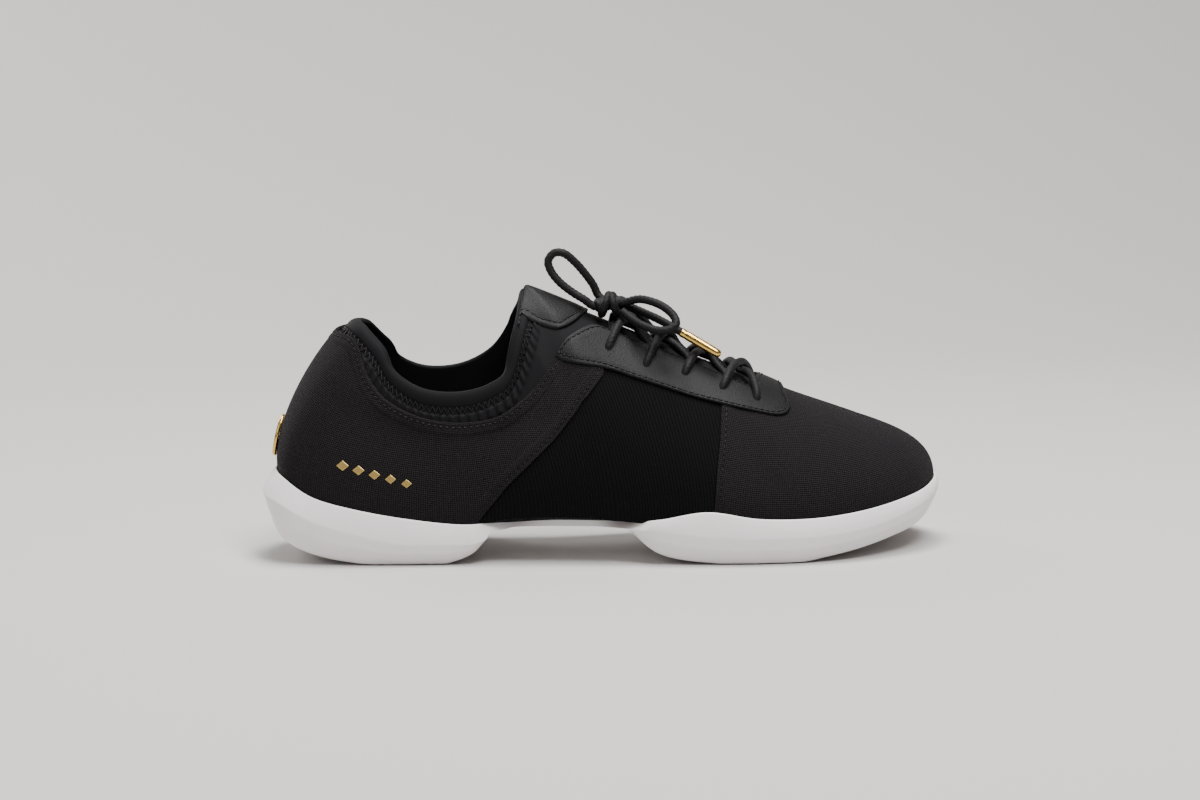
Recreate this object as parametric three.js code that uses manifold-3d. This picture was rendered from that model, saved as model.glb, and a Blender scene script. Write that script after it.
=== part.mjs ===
// Right low-cut dance sneaker with a split sole, standing empty on a floor.
// Toe towards +X, outer side towards -Y, Z up. Millimetres.
// The origin is at the bottom centre of the shoe's box, measured without the free lace.
import * as THREE from "three";
import { mergeVertices } from "three/addons/utils/BufferGeometryUtils.js";
import Module from "manifold-3d";

const wasm = await Module();
wasm.setup();

// Driving dimensions
const shoeLength = 286.8;       // over the sole, heel to toe
const ballHalfWidth = 46.8;     // half of the upper's widest width, at the ball
const tongueHeight = 112.5;     // floor to the top of the tongue
const heelCupHeight = 37.5;     // floor to the sole's top edge at the back of the heel
const bedThickness = 19.0;      // sole under the heel, floor to footbed
const upperWall = 1.8;          // canvas with its lining
const goreDrop = 0.7;           // how far the elastic gore lies below the canvas
const collarWall = 2.6;         // neoprene of the ankle collar and tongue
const overlayWall = 1.3;        // eyestay leather
const patchWall = 1.2;          // patch on the tongue
const charmWall = 1.7;          // metal badge on the heel
const insoleWall = 3.0;
const clearance = 0.3;          // between pieces that touch
const lastingMargin = 9;        // width of the upper's turned-in lower edge
const eyeletBore = 4.6;
const laceDiameter = 3.6;
const agletDiameter = 3.8;
const agletLength = 18.5;

// Fineness of the faceted surfaces
const ribsPerRow = 2;
const ribSteps = 7;
const laceSides = 8;
const boreSides = 8;

// Small helpers
const vec = (x, y, z) => new THREE.Vector3(x, y, z);
const mix = (a, b, share) => a + (b - a) * share;
const alongX = (share) => (share - 0.5) * shoeLength;

function namedRows(columns, rows) {
  return rows.map((row) => Object.fromEntries(columns.map((name, i) => [name, row[i]])));
}

// Smooth curve through places and values, without overshoot
function smoothCurve(places, values) {
  const count = places.length;
  const slopes = [];
  for (let i = 0; i + 1 < count; i++) {
    slopes.push((values[i + 1] - values[i]) / (places[i + 1] - places[i]));
  }
  const tangents = [slopes[0]];
  for (let i = 1; i + 1 < count; i++) {
    const turns = slopes[i - 1] * slopes[i] <= 0;
    tangents.push(turns ? 0 : (2 * slopes[i - 1] * slopes[i]) / (slopes[i - 1] + slopes[i]));
  }
  tangents.push(slopes[count - 2]);
  return (place) => {
    if (place <= places[0]) return values[0];
    if (place >= places[count - 1]) return values[count - 1];
    let i = 0;
    while (place > places[i + 1]) i++;
    const span = places[i + 1] - places[i];
    const s = (place - places[i]) / span;
    const s2 = s * s;
    const s3 = s2 * s;
    return (2 * s3 - 3 * s2 + 1) * values[i] + (s3 - 2 * s2 + s) * span * tangents[i]
      + (3 * s2 - 2 * s3) * values[i + 1] + (s3 - s2) * span * tangents[i + 1];
  };
}

// The last: one row for each rib of the upper, from the back of the heel to the toe.
// A rib climbs from the feather line, where upper meets sole, to the collar rim or,
// from the tongue forwards, to the ridge line over the instep.
// along, topAlong: shares of shoeLength from the heel. lateral, medial, topLateral,
// topMedial: shares of ballHalfWidth. feather: share of heelCupHeight. topOuter,
// topInner: shares of tongueHeight. crown: 0 at the rim, 1 on the ridge line.
// rise, run: how far the rib climbs straight, and runs flat at its top.
// lean: 0 where the rib ends upright, 1 where it ends level. bend: bulge to the outside.
const ribTable = namedRows(
  ["along", "lateral", "medial", "feather", "topAlong", "topLateral", "topMedial",
    "topOuter", "topInner", "crown", "rise", "run", "lean", "bend"],
  [
    [0.022, 0.000, 0.000, 1.000, 0.153, 0.000, 0.000, 0.900, 0.900, 0.00, 0.36, 0.19, 0.74, 0.04],
    [0.038, 0.417, 0.417, 0.965, 0.165, 0.235, 0.235, 0.878, 0.880, 0.00, 0.36, 0.20, 0.60, 0.04],
    [0.080, 0.581, 0.581, 0.768, 0.185, 0.374, 0.374, 0.812, 0.818, 0.00, 0.36, 0.26, 0.35, 0.03],
    [0.141, 0.671, 0.658, 0.640, 0.203, 0.481, 0.481, 0.716, 0.747, 0.00, 0.36, 0.32, 0.16, 0.02],
    [0.221, 0.709, 0.669, 0.525, 0.242, 0.547, 0.538, 0.643, 0.688, 0.00, 0.36, 0.34, 0.12, 0.02],
    [0.305, 0.735, 0.630, 0.459, 0.294, 0.573, 0.556, 0.626, 0.683, 0.00, 0.36, 0.34, 0.12, 0.03],
    [0.374, 0.761, 0.588, 0.523, 0.343, 0.560, 0.526, 0.656, 0.747, 0.00, 0.36, 0.34, 0.14, 0.04],
    [0.430, 0.799, 0.577, 0.533, 0.374, 0.500, 0.419, 0.724, 0.844, 0.05, 0.36, 0.34, 0.24, 0.04],
    [0.479, 0.840, 0.607, 0.525, 0.386, 0.321, 0.278, 0.884, 0.933, 0.40, 0.36, 0.34, 0.55, 0.03],
    [0.524, 0.880, 0.662, 0.493, 0.395, -0.021, 0.021, 1.004, 1.004, 1.00, 0.36, 0.34, 1.00, 0.02],
    [0.580, 0.927, 0.759, 0.512, 0.479, -0.043, 0.043, 0.916, 0.916, 1.00, 0.34, 0.33, 1.00, 0.01],
    [0.650, 0.974, 0.876, 0.595, 0.587, -0.064, 0.064, 0.796, 0.796, 1.00, 0.34, 0.33, 1.00, 0.00],
    [0.723, 1.000, 0.974, 0.515, 0.688, -0.085, 0.085, 0.684, 0.684, 1.00, 0.40, 0.44, 1.00, 0.00],
    [0.800, 0.957, 1.017, 0.501, 0.779, -0.107, 0.107, 0.580, 0.580, 1.00, 0.46, 0.50, 1.00, 0.00],
    [0.870, 0.812, 0.953, 0.541, 0.838, -0.128, 0.128, 0.524, 0.524, 1.00, 0.50, 0.52, 1.00, 0.00],
    [0.929, 0.560, 0.799, 0.605, 0.866, -0.150, 0.150, 0.497, 0.497, 1.00, 0.52, 0.52, 1.00, 0.00],
    [0.971, 0.269, 0.588, 0.675, 0.878, -0.162, 0.162, 0.485, 0.485, 1.00, 0.54, 0.52, 1.00, 0.00],
    [0.993, -0.171, 0.171, 0.739, 0.884, -0.171, 0.171, 0.480, 0.480, 1.00, 0.56, 0.52, 1.00, 0.00],
  ],
);
const lastRow = ribTable.length - 1;
const tongueTopRow = ribTable.findIndex((row) => row.crown === 1);

// The rows run round the shoe as a ring: heel, outer side, toe, inner side
const ringRows = 2 * lastRow;

function ringCurve(outerColumn, innerColumn = outerColumn) {
  const places = [];
  const values = [];
  for (let i = -2; i <= ringRows + 2; i++) {
    const turn = (i + ringRows) % ringRows;
    const outer = turn <= lastRow;
    places.push(i);
    values.push(outer ? outerColumn(ribTable[turn]) : innerColumn(ribTable[ringRows - turn]));
  }
  const curve = smoothCurve(places, values);
  return (place) => curve(((place % ringRows) + ringRows) % ringRows);
}

const baseX = ringCurve((row) => alongX(row.along));
const baseY = ringCurve((row) => -row.lateral * ballHalfWidth, (row) => row.medial * ballHalfWidth);
const baseZ = ringCurve((row) => row.feather * heelCupHeight);
const topX = ringCurve((row) => alongX(row.topAlong));
const topY = ringCurve((row) => -row.topLateral * ballHalfWidth, (row) => row.topMedial * ballHalfWidth);
const topZ = ringCurve((row) => row.topOuter * tongueHeight, (row) => row.topInner * tongueHeight);
const crownAt = ringCurve((row) => row.crown);
const riseAt = ringCurve((row) => row.rise);
const runAt = ringCurve((row) => row.run);
const leanAt = ringCurve((row) => row.lean);
const bendAt = ringCurve((row) => row.bend);

const ridgeRows = ribTable.slice(tongueTopRow);
const ridgeZ = smoothCurve(
  ridgeRows.map((row) => alongX(row.topAlong)),
  ridgeRows.map((row) => row.topOuter * tongueHeight),
);
const slopeProbe = 2;
const ridgeSlope = (x) => (ridgeZ(x + slopeProbe) - ridgeZ(x - slopeProbe)) / (2 * slopeProbe);

// Footbed height of the sole, from heel to toe: shares of shoeLength and bedThickness
const bedTable = namedRows(["along", "height"], [
  [0.00, 1.16], [0.10, 1.02], [0.22, 0.88], [0.34, 0.86], [0.44, 0.92], [0.54, 0.90],
  [0.64, 0.84], [0.74, 0.80], [0.84, 0.86], [0.93, 1.02], [1.00, 1.24],
]);
const bedCurve = smoothCurve(
  bedTable.map((row) => alongX(row.along)),
  bedTable.map((row) => row.height * bedThickness),
);

// Where the two pods of the sole end, as shares of shoeLength; between them the
// canvas wraps in under the arch
const heelPodEnd = 0.338;
const frontPodStart = 0.532;
const podBlend = 0.03;

function archShare(x) {
  const rising = THREE.MathUtils.smoothstep(x, alongX(heelPodEnd - podBlend), alongX(heelPodEnd + podBlend));
  const falling = THREE.MathUtils.smoothstep(
    x, alongX(frontPodStart - podBlend), alongX(frontPodStart + podBlend));
  return rising * (1 - falling);
}

// Outward direction of a closed plan curve
function outwardOf(curveX, curveY, place) {
  const step = 0.05;
  const dx = curveX(place + step) - curveX(place - step);
  const dy = curveY(place + step) - curveY(place - step);
  return vec(dy, -dx, 0).normalize();
}

// One rib as the four control points of a cubic curve, moved outwards by offset
function ribControls(place, offset) {
  const base = vec(baseX(place), baseY(place), baseZ(place));
  const top = vec(topX(place), topY(place), topZ(place));
  const crown = crownAt(place);
  const lean = leanAt(place);
  const outward = outwardOf(baseX, baseY, place);
  const rimOutward = crown < 0.999 ? outwardOf(topX, topY, place) : outward;
  const toBase = vec(base.x - top.x, base.y - top.y, 0);
  const width = toBase.length();
  toBase.normalize();
  const slope = ridgeSlope(top.x);
  const level = rimOutward.clone().lerp(toBase, crown).normalize();
  const away = level.clone().multiplyScalar(lean);
  away.z = -(1 - lean) + crown * slope * level.x * lean;
  const runLength = runAt(place) * mix(base.distanceTo(top), width, crown);
  const rimNormal = rimOutward.clone().multiplyScalar(1 - lean).add(vec(0, 0, lean));
  const ridgeNormal = vec(-slope, 0, 1).normalize();
  const topNormal = rimNormal.normalize().lerp(ridgeNormal, crown).normalize();
  const height = top.z - base.z;
  const low = base.clone().addScaledVector(outward, offset);
  const belly = low.clone().addScaledVector(outward, bendAt(place) * height);
  belly.z += riseAt(place) * height;
  const high = top.clone().addScaledVector(topNormal, offset);
  const shoulder = high.clone().addScaledVector(away, runLength);
  return { low, belly, shoulder, high, outward, crown };
}

function surfacePoint(place, share, offset) {
  const rib = ribControls(place, offset);
  const s = 1 - share;
  return rib.low.clone().multiplyScalar(s * s * s)
    .addScaledVector(rib.belly, 3 * s * s * share)
    .addScaledVector(rib.shoulder, 3 * s * share * share)
    .addScaledVector(rib.high, share * share * share);
}

// Lower edge of the upper: it drops into the sole's cup, and wraps in under the arch
const cupTuck = 0.8;
const archTuck = 5.5;

function tuckedPoint(place, offset, extraInset = 0) {
  const x = baseX(place);
  const outward = outwardOf(baseX, baseY, place);
  const tuck = mix(cupTuck, archTuck, archShare(x)) + extraInset;
  const point = vec(x, baseY(place), 0).addScaledVector(outward, offset - tuck);
  point.z = bedCurve(point.x) + clearance - offset;
  return point;
}

// Closed faceted body from points and triangles
function bodyFrom(points, triangles) {
  const geometry = new THREE.BufferGeometry();
  geometry.setAttribute("position", new THREE.Float32BufferAttribute(points.flatMap((p) => p.toArray()), 3));
  geometry.setIndex(triangles.flat());
  return solidOf(geometry);
}

function solidOf(geometry) {
  const bare = geometry.clone();
  bare.deleteAttribute("normal");
  bare.deleteAttribute("uv");
  const merged = mergeVertices(bare, 1e-4);
  const index = merged.index.array;
  const kept = [];
  for (let i = 0; i < index.length; i += 3) {
    const [a, b, c] = [index[i], index[i + 1], index[i + 2]];
    if (a !== b && b !== c && a !== c) kept.push(a, b, c);
  }
  return new wasm.Manifold(new wasm.Mesh({
    numProp: 3,
    vertProperties: Float32Array.from(merged.attributes.position.array),
    triVerts: Uint32Array.from(kept),
  }));
}

const ribCount = ringRows * ribsPerRow;
const placeOf = (i) => (i % ribCount) / ribsPerRow;

// Closed body from rings of points, each ring running heel, outer side, toe, inner side,
// from the lowest ring to the highest. The ends are closed across the shoe.
function ringBody(rings) {
  const points = rings.flat();
  const triangles = [];
  const at = (ring, i) => ring * ribCount + (i % ribCount);
  for (let ring = 0; ring + 1 < rings.length; ring++) {
    for (let i = 0; i < ribCount; i++) {
      triangles.push([at(ring, i), at(ring, i + 1), at(ring + 1, i + 1)]);
      triangles.push([at(ring, i), at(ring + 1, i + 1), at(ring + 1, i)]);
    }
  }
  const crown = rings.length - 1;
  for (let i = 0; i < ribCount / 2; i++) {
    const near = i;
    const far = ribCount - i;
    triangles.push([at(crown, near), at(crown, near + 1), at(crown, far - 1)]);
    triangles.push([at(crown, near), at(crown, far - 1), at(crown, far)]);
    triangles.push([at(0, near + 1), at(0, near), at(0, far - 1)]);
    triangles.push([at(0, near), at(0, far), at(0, far - 1)]);
  }
  return bodyFrom(points, triangles);
}

const ringOf = (makePoint) => Array.from({ length: ribCount }, (_, i) => makePoint(placeOf(i)));

// The whole foot form, grown outwards by offset. beyond carries its open rim further
// out of the ankle, so that it cuts the collar open.
function footForm(offset, beyond = 0) {
  const rings = [ringOf((place) => tuckedPoint(place, offset))];
  for (let step = 0; step <= ribSteps; step++) {
    rings.push(ringOf((place) => surfacePoint(place, step / ribSteps, offset)));
  }
  if (beyond > 0) {
    rings.push(ringOf((place) => {
      const rib = ribControls(place, offset);
      const row = Math.min(place, ringRows - place);
      if (row >= tongueTopRow) return rib.high;
      const onwards = vec(-rib.crown, 0, 1 - 0.8 * rib.crown).normalize();
      return rib.high.addScaledVector(onwards, beyond);
    }));
  }
  return ringBody(rings);
}

// Prism across the shoe with a side-view outline of [x, z] points. skew lifts it
// towards the inner side.
function sidePrism(outline, skew = 0) {
  const shape = new THREE.Shape(outline.map(([x, z]) => new THREE.Vector2(x, z)));
  const reach = 4 * ballHalfWidth;
  const geometry = new THREE.ExtrudeGeometry(shape, { depth: reach, bevelEnabled: false });
  geometry.translate(0, 0, -reach / 2);
  geometry.rotateX(Math.PI / 2);
  const shear = new THREE.Matrix4().set(1, 0, 0, 0, 0, 1, 0, 0, 0, skew, 1, 0, 0, 0, 0, 1);
  geometry.applyMatrix4(shear);
  return solidOf(geometry);
}

// Side-view lines, heel to toe: shares of shoeLength and tongueHeight
const sideLine = (table) => table.map(([along, height]) => [alongX(along), height * tongueHeight]);
const smoothLine = (table, steps) => new THREE.SplineCurve(
  sideLine(table).map(([x, z]) => new THREE.Vector2(x, z)),
).getPoints(steps).map((p) => [p.x, p.y]);

const collarSkew = 0.095;
const canvasEdge = smoothLine([
  [0.085, 0.850], [0.112, 0.852], [0.140, 0.847], [0.150, 0.815], [0.155, 0.770], [0.163, 0.712],
  [0.180, 0.652], [0.200, 0.613], [0.226, 0.580], [0.257, 0.557], [0.295, 0.547], [0.334, 0.556],
  [0.361, 0.578], [0.395, 0.638], [0.417, 0.694], [0.436, 0.748],
], 30);
const throatEdge = smoothLine([
  [0.436, 0.748], [0.443, 0.785], [0.457, 0.820], [0.484, 0.848], [0.505, 0.838], [0.546, 0.793],
  [0.596, 0.742], [0.646, 0.686], [0.708, 0.618], [0.722, 0.624], [0.731, 0.650],
], 24);
const eyestayEdge = smoothLine([
  [0.434, 0.742], [0.452, 0.731], [0.505, 0.706], [0.550, 0.667], [0.592, 0.630], [0.636, 0.592],
  [0.680, 0.562], [0.724, 0.534], [0.752, 0.518], [0.768, 0.520], [0.775, 0.541], [0.771, 0.561],
  [0.764, 0.590],
], 26);
const goreRear = sideLine([[0.506, 0.690], [0.470, 0.575], [0.434, 0.461], [0.363, 0.290], [0.322, 0.165]]);
const goreFront = sideLine([[0.658, 0.170], [0.664, 0.330], [0.671, 0.455], [0.675, 0.560]]);

const skyHeight = 1.35 * tongueHeight;
const aboveLine = (line) => [...line, [line[line.length - 1][0], skyHeight], [line[0][0], skyHeight]];

// Places of the eyelets on each side, front to back, in the side view
const eyeletTable = namedRows(["along", "height"], [
  [0.725, 0.571], [0.676, 0.615], [0.622, 0.669], [0.566, 0.707], [0.512, 0.770],
]);

// Finds the rib place and share of the surface point seen at x, z from one side
function locate(side, x, z) {
  let near = tongueTopRow + 2;
  let share = 0.8;
  const place = () => (side < 0 ? near : ringRows - near);
  const step = 0.02;
  for (let round = 0; round < 24; round++) {
    const here = surfacePoint(place(), share, 0);
    const keep = near;
    near = keep + step;
    const byRow = surfacePoint(place(), share, 0).sub(here).divideScalar(step);
    near = keep;
    const byShare = surfacePoint(place(), share + step, 0).sub(here).divideScalar(step);
    const gapX = x - here.x;
    const gapZ = z - here.z;
    const area = byRow.x * byShare.z - byRow.z * byShare.x;
    near += THREE.MathUtils.clamp((gapX * byShare.z - gapZ * byShare.x) / area, -0.6, 0.6);
    share += THREE.MathUtils.clamp((byRow.x * gapZ - byRow.z * gapX) / area, -0.1, 0.1);
    near = THREE.MathUtils.clamp(near, tongueTopRow - 0.5, lastRow - 0.5);
    share = THREE.MathUtils.clamp(share, 0.3, 0.97);
  }
  return { place: place(), share };
}

function surfaceNormal(place, share) {
  const step = 0.02;
  const alongRing = surfacePoint(place + step, share, 0).sub(surfacePoint(place - step, share, 0));
  const upRib = surfacePoint(place, share + step, 0).sub(surfacePoint(place, share - step, 0));
  return alongRing.cross(upRib).normalize();
}

const eyelets = eyeletTable.map((row) => [-1, 1].map((side) => {
  const spot = locate(side, alongX(row.along), row.height * tongueHeight);
  return { ...spot, side, normal: surfaceNormal(spot.place, spot.share) };
}));

const eyeletBores = eyelets.flat().map((eyelet) => {
  const bore = new THREE.CylinderGeometry(eyeletBore / 2, eyeletBore / 2, 12, boreSides);
  bore.applyQuaternion(new THREE.Quaternion().setFromUnitVectors(vec(0, 1, 0), eyelet.normal));
  const centre = surfacePoint(eyelet.place, eyelet.share, 0);
  bore.translate(centre.x, centre.y, centre.z);
  return solidOf(bore);
}).reduce((all, bore) => all.add(bore));

// Upper: one hollow shell of canvas, cut open at the ankle, throat and underneath,
// with the elastic gore as a step in its wall on both sides
const collarCut = sidePrism(aboveLine(canvasEdge), collarSkew);
const throatCut = sidePrism(aboveLine(throatEdge));

function underOpening() {
  const inset = upperWall + lastingMargin;
  const low = ringOf((place) => tuckedPoint(place, 0, inset).add(vec(0, 0, -6)));
  const high = ringOf((place) => tuckedPoint(place, 0, inset).add(vec(0, 0, 6)));
  return ringBody([low, high]);
}

function makeUpper() {
  const gore = sidePrism([...goreRear, ...goreFront])
    .intersect(footForm(4).subtract(footForm(-goreDrop)));
  return footForm(0).subtract(footForm(-upperWall, 8))
    .subtract(underOpening())
    .subtract(collarCut)
    .subtract(throatCut)
    .subtract(gore);
}

// Collar and tongue: one neoprene sock inside the canvas
const collarOffset = -(upperWall + clearance);
const collarLower = smoothLine([
  [0.060, 0.752], [0.110, 0.748], [0.140, 0.640], [0.180, 0.540], [0.230, 0.470], [0.295, 0.440],
  [0.361, 0.460], [0.410, 0.540], [0.450, 0.620], [0.500, 0.650], [0.560, 0.610], [0.630, 0.560],
  [0.690, 0.530], [0.735, 0.530], [0.752, 0.570], [0.756, 0.640],
], 30);

function makeCollar() {
  return footForm(collarOffset).subtract(footForm(collarOffset - collarWall, 8))
    .intersect(sidePrism(aboveLine(collarLower)));
}

// Eyestay: a U of leather round the throat, cut between two larger forms
function makeEyestay() {
  const outline = [...eyestayEdge, [eyestayEdge[eyestayEdge.length - 1][0], skyHeight],
    [throatEdge[throatEdge.length - 1][0], skyHeight], ...throatEdge.slice(1).reverse()];
  return footForm(clearance + overlayWall).subtract(footForm(clearance, 8))
    .intersect(sidePrism(outline))
    .subtract(eyeletBores);
}

// Patch on the top of the tongue
function makePatch() {
  const outline = smoothLine([
    [0.388, 0.918], [0.397, 0.896], [0.421, 0.868], [0.438, 0.857], [0.452, 0.862], [0.472, 0.884],
    [0.486, 0.925],
  ], 12);
  const under = collarOffset + clearance;
  return footForm(under + patchWall).subtract(footForm(under, 8))
    .intersect(sidePrism([...outline, [alongX(0.486), skyHeight], [alongX(0.36), skyHeight],
      [alongX(0.36), 0.918 * tongueHeight]]));
}

// Badge on the back of the heel: a plain oval that follows the canvas
function makeCharm() {
  const width = 12;
  const height = 17.5;
  const oval = new THREE.CylinderGeometry(1, 1, 40, 20);
  oval.rotateZ(Math.PI / 2);
  oval.scale(1, width / 2, height / 2);
  oval.translate(alongX(0), 0, heelCupHeight + clearance + 4.5 + height / 2);
  return footForm(clearance + charmWall).subtract(footForm(clearance, 8)).intersect(solidOf(oval));
}

// Sole: one moulded piece with a heel pod, a thin bridge under the arch and a
// forefoot pod. out: from the feather line outwards, as shares of ledgeReach.
// ridge: height of the crisp ridge round the side, a share of heelCupHeight.
const ledgeReach = 6.6;
const soleTable = namedRows(["lip", "out", "ridge"], [
  [1, 1.00, 0.773], [1, 0.91, 0.720], [1, 0.64, 0.520], [1, 0.48, 0.365], [1, 0.45, 0.245],
  [1, 0.39, 0.240], [0, -0.76, 0.405], [0, -0.91, 0.405], [0, -0.91, 0.405], [0, -0.45, 0.400],
  [1, 0.30, 0.384], [1, 0.42, 0.328], [1, 0.42, 0.299], [1, 0.45, 0.304], [1, 0.45, 0.355],
  [1, 0.45, 0.453], [1, 0.39, 0.560], [1, 0.30, 0.643],
]);
const soleCurve = (column) => {
  const curve = smoothCurve(soleTable.map((_, i) => i), soleTable.map((row) => row[column]));
  return (place) => curve(Math.min(place, ringRows - place));
};
const lipAt = soleCurve("lip");
const outAt = soleCurve("out");
const ridgeAt = soleCurve("ridge");

// Underside of the sole in the side view: shares of shoeLength and heelCupHeight
const keelTable = namedRows(["along", "height"], [
  [0.000, 0.640], [0.012, 0.413], [0.026, 0.293], [0.050, 0.187], [0.078, 0.107], [0.116, 0.043],
  [0.165, 0.000], [0.270, 0.000], [0.287, 0.032], [0.312, 0.120], [0.329, 0.253], [0.341, 0.375],
  [0.430, 0.395], [0.517, 0.395], [0.533, 0.385], [0.545, 0.310], [0.560, 0.205], [0.578, 0.115],
  [0.601, 0.059], [0.638, 0.019], [0.674, 0.000], [0.779, 0.000], [0.821, 0.045], [0.868, 0.104],
  [0.917, 0.181], [0.953, 0.248], [0.986, 0.368], [1.000, 0.480],
]);
const keelCurve = smoothCurve(
  keelTable.map((row) => alongX(row.along)),
  keelTable.map((row) => row.height * heelCupHeight),
);

// Rings of the sole's side below the ridge: how far in, and the share of the
// height between underside and ridge
const soleLowerRings = [
  { inset: 9.5, share: 0 },
  { inset: 4.2, share: 0.07 },
  { inset: 1.1, share: 0.56 },
];
const lipWidth = 0.8;

function makeSole() {
  const sideRing = ({ inset, share }) => ringOf((place) => {
    const outward = outwardOf(baseX, baseY, place);
    const point = vec(baseX(place), baseY(place), 0).addScaledVector(outward, outAt(place) * ledgeReach - inset);
    const keel = keelCurve(point.x);
    point.z = keel + (Math.max(ridgeAt(place) * heelCupHeight, keel) - keel) * share;
    return point;
  });
  const ridge = sideRing({ inset: 0, share: 1 });
  const lip = ringOf((place) => {
    const outward = outwardOf(baseX, baseY, place);
    const reach = mix(-archTuck - 1, clearance + lipWidth, lipAt(place));
    const point = vec(baseX(place), baseY(place), 0).addScaledVector(outward, reach);
    const bridgeTop = bedCurve(point.x) + clearance;
    point.z = mix(bridgeTop, baseZ(place), lipAt(place));
    return point;
  });
  return ringBody([...soleLowerRings.map(sideRing), ridge, lip]).subtract(footForm(clearance));
}

// Insole: a flat liner on the upper's turned-in edge
function makeInsole() {
  const inset = upperWall + 3 * clearance;
  const floor = upperWall + clearance;
  const low = ringOf((place) => tuckedPoint(place, 0, inset).add(vec(0, 0, floor)));
  const high = ringOf((place) => tuckedPoint(place, 0, inset).add(vec(0, 0, floor + insoleWall)));
  return ringBody([low, high]);
}

// Lace
function tube(points, diameter, steps) {
  const ring = Array.from({ length: laceSides }, (_, i) => {
    const turn = (2 * Math.PI * i) / laceSides;
    return new THREE.Vector2(Math.cos(turn), Math.sin(turn)).multiplyScalar(diameter / 2);
  });
  const path = new THREE.CatmullRomCurve3(points);
  return solidOf(new THREE.ExtrudeGeometry(new THREE.Shape(ring), { steps, extrudePath: path }));
}

// Heights of the lace's centre over the foot form
const laceOverEyestay = 5 * clearance + overlayWall + laceDiameter / 2;
const laceOverTongue = collarOffset + 2 * clearance + laceDiameter / 2;
const laceHump = 1.7;

// Row place on the ridge line at x
function ridgePlace(x) {
  let low = tongueTopRow;
  let high = lastRow;
  for (let round = 0; round < 24; round++) {
    const middle = (low + high) / 2;
    if (topX(middle) < x) low = middle;
    else high = middle;
  }
  return low;
}

// Point on the way from an eyelet to the ridge line at crestX
function overInstep(eyelet, crestX, way, height) {
  const near = Math.min(eyelet.place, ringRows - eyelet.place);
  const row = mix(near, ridgePlace(crestX), way);
  return surfacePoint(eyelet.side < 0 ? row : ringRows - row, mix(eyelet.share, 1, way), height);
}

// Ways at which a strand comes out from under the eyestay and passes over its edge
const wayUnder = 0.74;
const wayOver = 0.46;

function strand(start, end, fromOutside) {
  const centreX = (eyelet) => surfacePoint(eyelet.place, eyelet.share, 0).x;
  const crestX = (centreX(start) + centreX(end)) / 2;
  const points = fromOutside
    ? [overInstep(start, crestX, 0, laceOverEyestay), overInstep(start, crestX, wayOver, laceOverEyestay + 3 * clearance)]
    : [overInstep(start, centreX(start), wayUnder, laceOverTongue)];
  points.push(
    overInstep(start, crestX, 1, laceOverTongue + laceHump),
    overInstep(end, crestX, wayOver, laceOverEyestay + 3 * clearance),
    overInstep(end, crestX, 0, laceOverEyestay),
  );
  return tube(points, laceDiameter, 9);
}

// Two strands that cross between one pair of eyelets and the next
function makeCrossing(front) {
  const [outer, inner] = eyelets[front];
  const [outerNext, innerNext] = eyelets[front + 1];
  const fromOutside = front === 0;
  return strand(outer, innerNext, fromOutside).add(strand(inner, outerNext, fromOutside));
}

// The strand that comes out from under both edges at the top pair and carries the knot
function makeTopBar() {
  const [outer, inner] = eyelets[eyelets.length - 1];
  const ways = [[outer, wayUnder], [outer, 0.87], [outer, 1], [inner, 0.87], [inner, wayUnder]];
  return tube(
    ways.map(([eyelet, way]) => overInstep(eyelet, barX, way, laceOverTongue + clearance)),
    laceDiameter, 6,
  );
}

// Bow: an upright loop, a loop that lies forwards, two ends and their metal tips.
// The points of a free lace are its own route, in millimetres.
const barX = 6;
const knotCentre = vec(5.0, -2, 104.0);
const knotSize = vec(11, 11.5, 8);
const uprightLoop = [
  [-2.2, -3, 103.2], [-6.0, -3, 106.2], [-10.5, -2, 109.0], [-16.2, -1, 113.6], [-19.8, 0, 118.4],
  [-20.7, 0.5, 122.4], [-18.1, 1, 125.6], [-14.2, 1, 125.4], [-9.6, 1.5, 121.6], [-5.4, 2, 116.6],
  [-2.0, 2.5, 111.6], [-0.4, 2.5, 107.4],
];
const forwardLoop = [
  [11.4, -4.2, 104.6], [17, -6.6, 106.2], [23, -10, 105.2], [28, -13, 102.8], [31.4, -16, 99.4],
  [31.9, -18.5, 96.6], [29, -19.5, 94.6], [24, -18.5, 94.4], [19, -16, 95.8], [14.4, -11.4, 98.0],
];
const outerEnd = [
  [11.2, -0.8, 103.4], [17, -3, 101.0], [24, -6, 98.0], [29.5, -8.6, 95.2], [34.6, -10, 92.2],
];
const innerEnd = [
  [9.2, 6.2, 103.6], [14.2, 11.8, 100.2], [19.6, 17, 94.2], [24.8, 21.4, 87.4], [29.0, 24.4, 82.2],
];

// Metal tip that carries on in the direction in which a lace end stops
function makeTip(points) {
  const last = vec(...points[points.length - 1]);
  const before = vec(...points[points.length - 2]);
  const onwards = last.clone().sub(before).normalize();
  const tip = new THREE.CylinderGeometry(agletDiameter / 2, agletDiameter / 2, agletLength, 12);
  tip.applyQuaternion(new THREE.Quaternion().setFromUnitVectors(vec(0, 1, 0), onwards));
  const centre = last.addScaledVector(onwards, clearance + agletLength / 2);
  tip.translate(centre.x, centre.y, centre.z);
  return solidOf(tip);
}

function makeKnot() {
  const knot = new THREE.SphereGeometry(0.5, 14, 9);
  knot.scale(knotSize.x, knotSize.y, knotSize.z);
  knot.translate(knotCentre.x, knotCentre.y, knotCentre.z);
  return solidOf(knot);
}

const freeLace = (points, steps) => tube(points.map((point) => vec(...point)), laceDiameter, steps);

// Meshes
const shoe = new THREE.Group();

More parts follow.
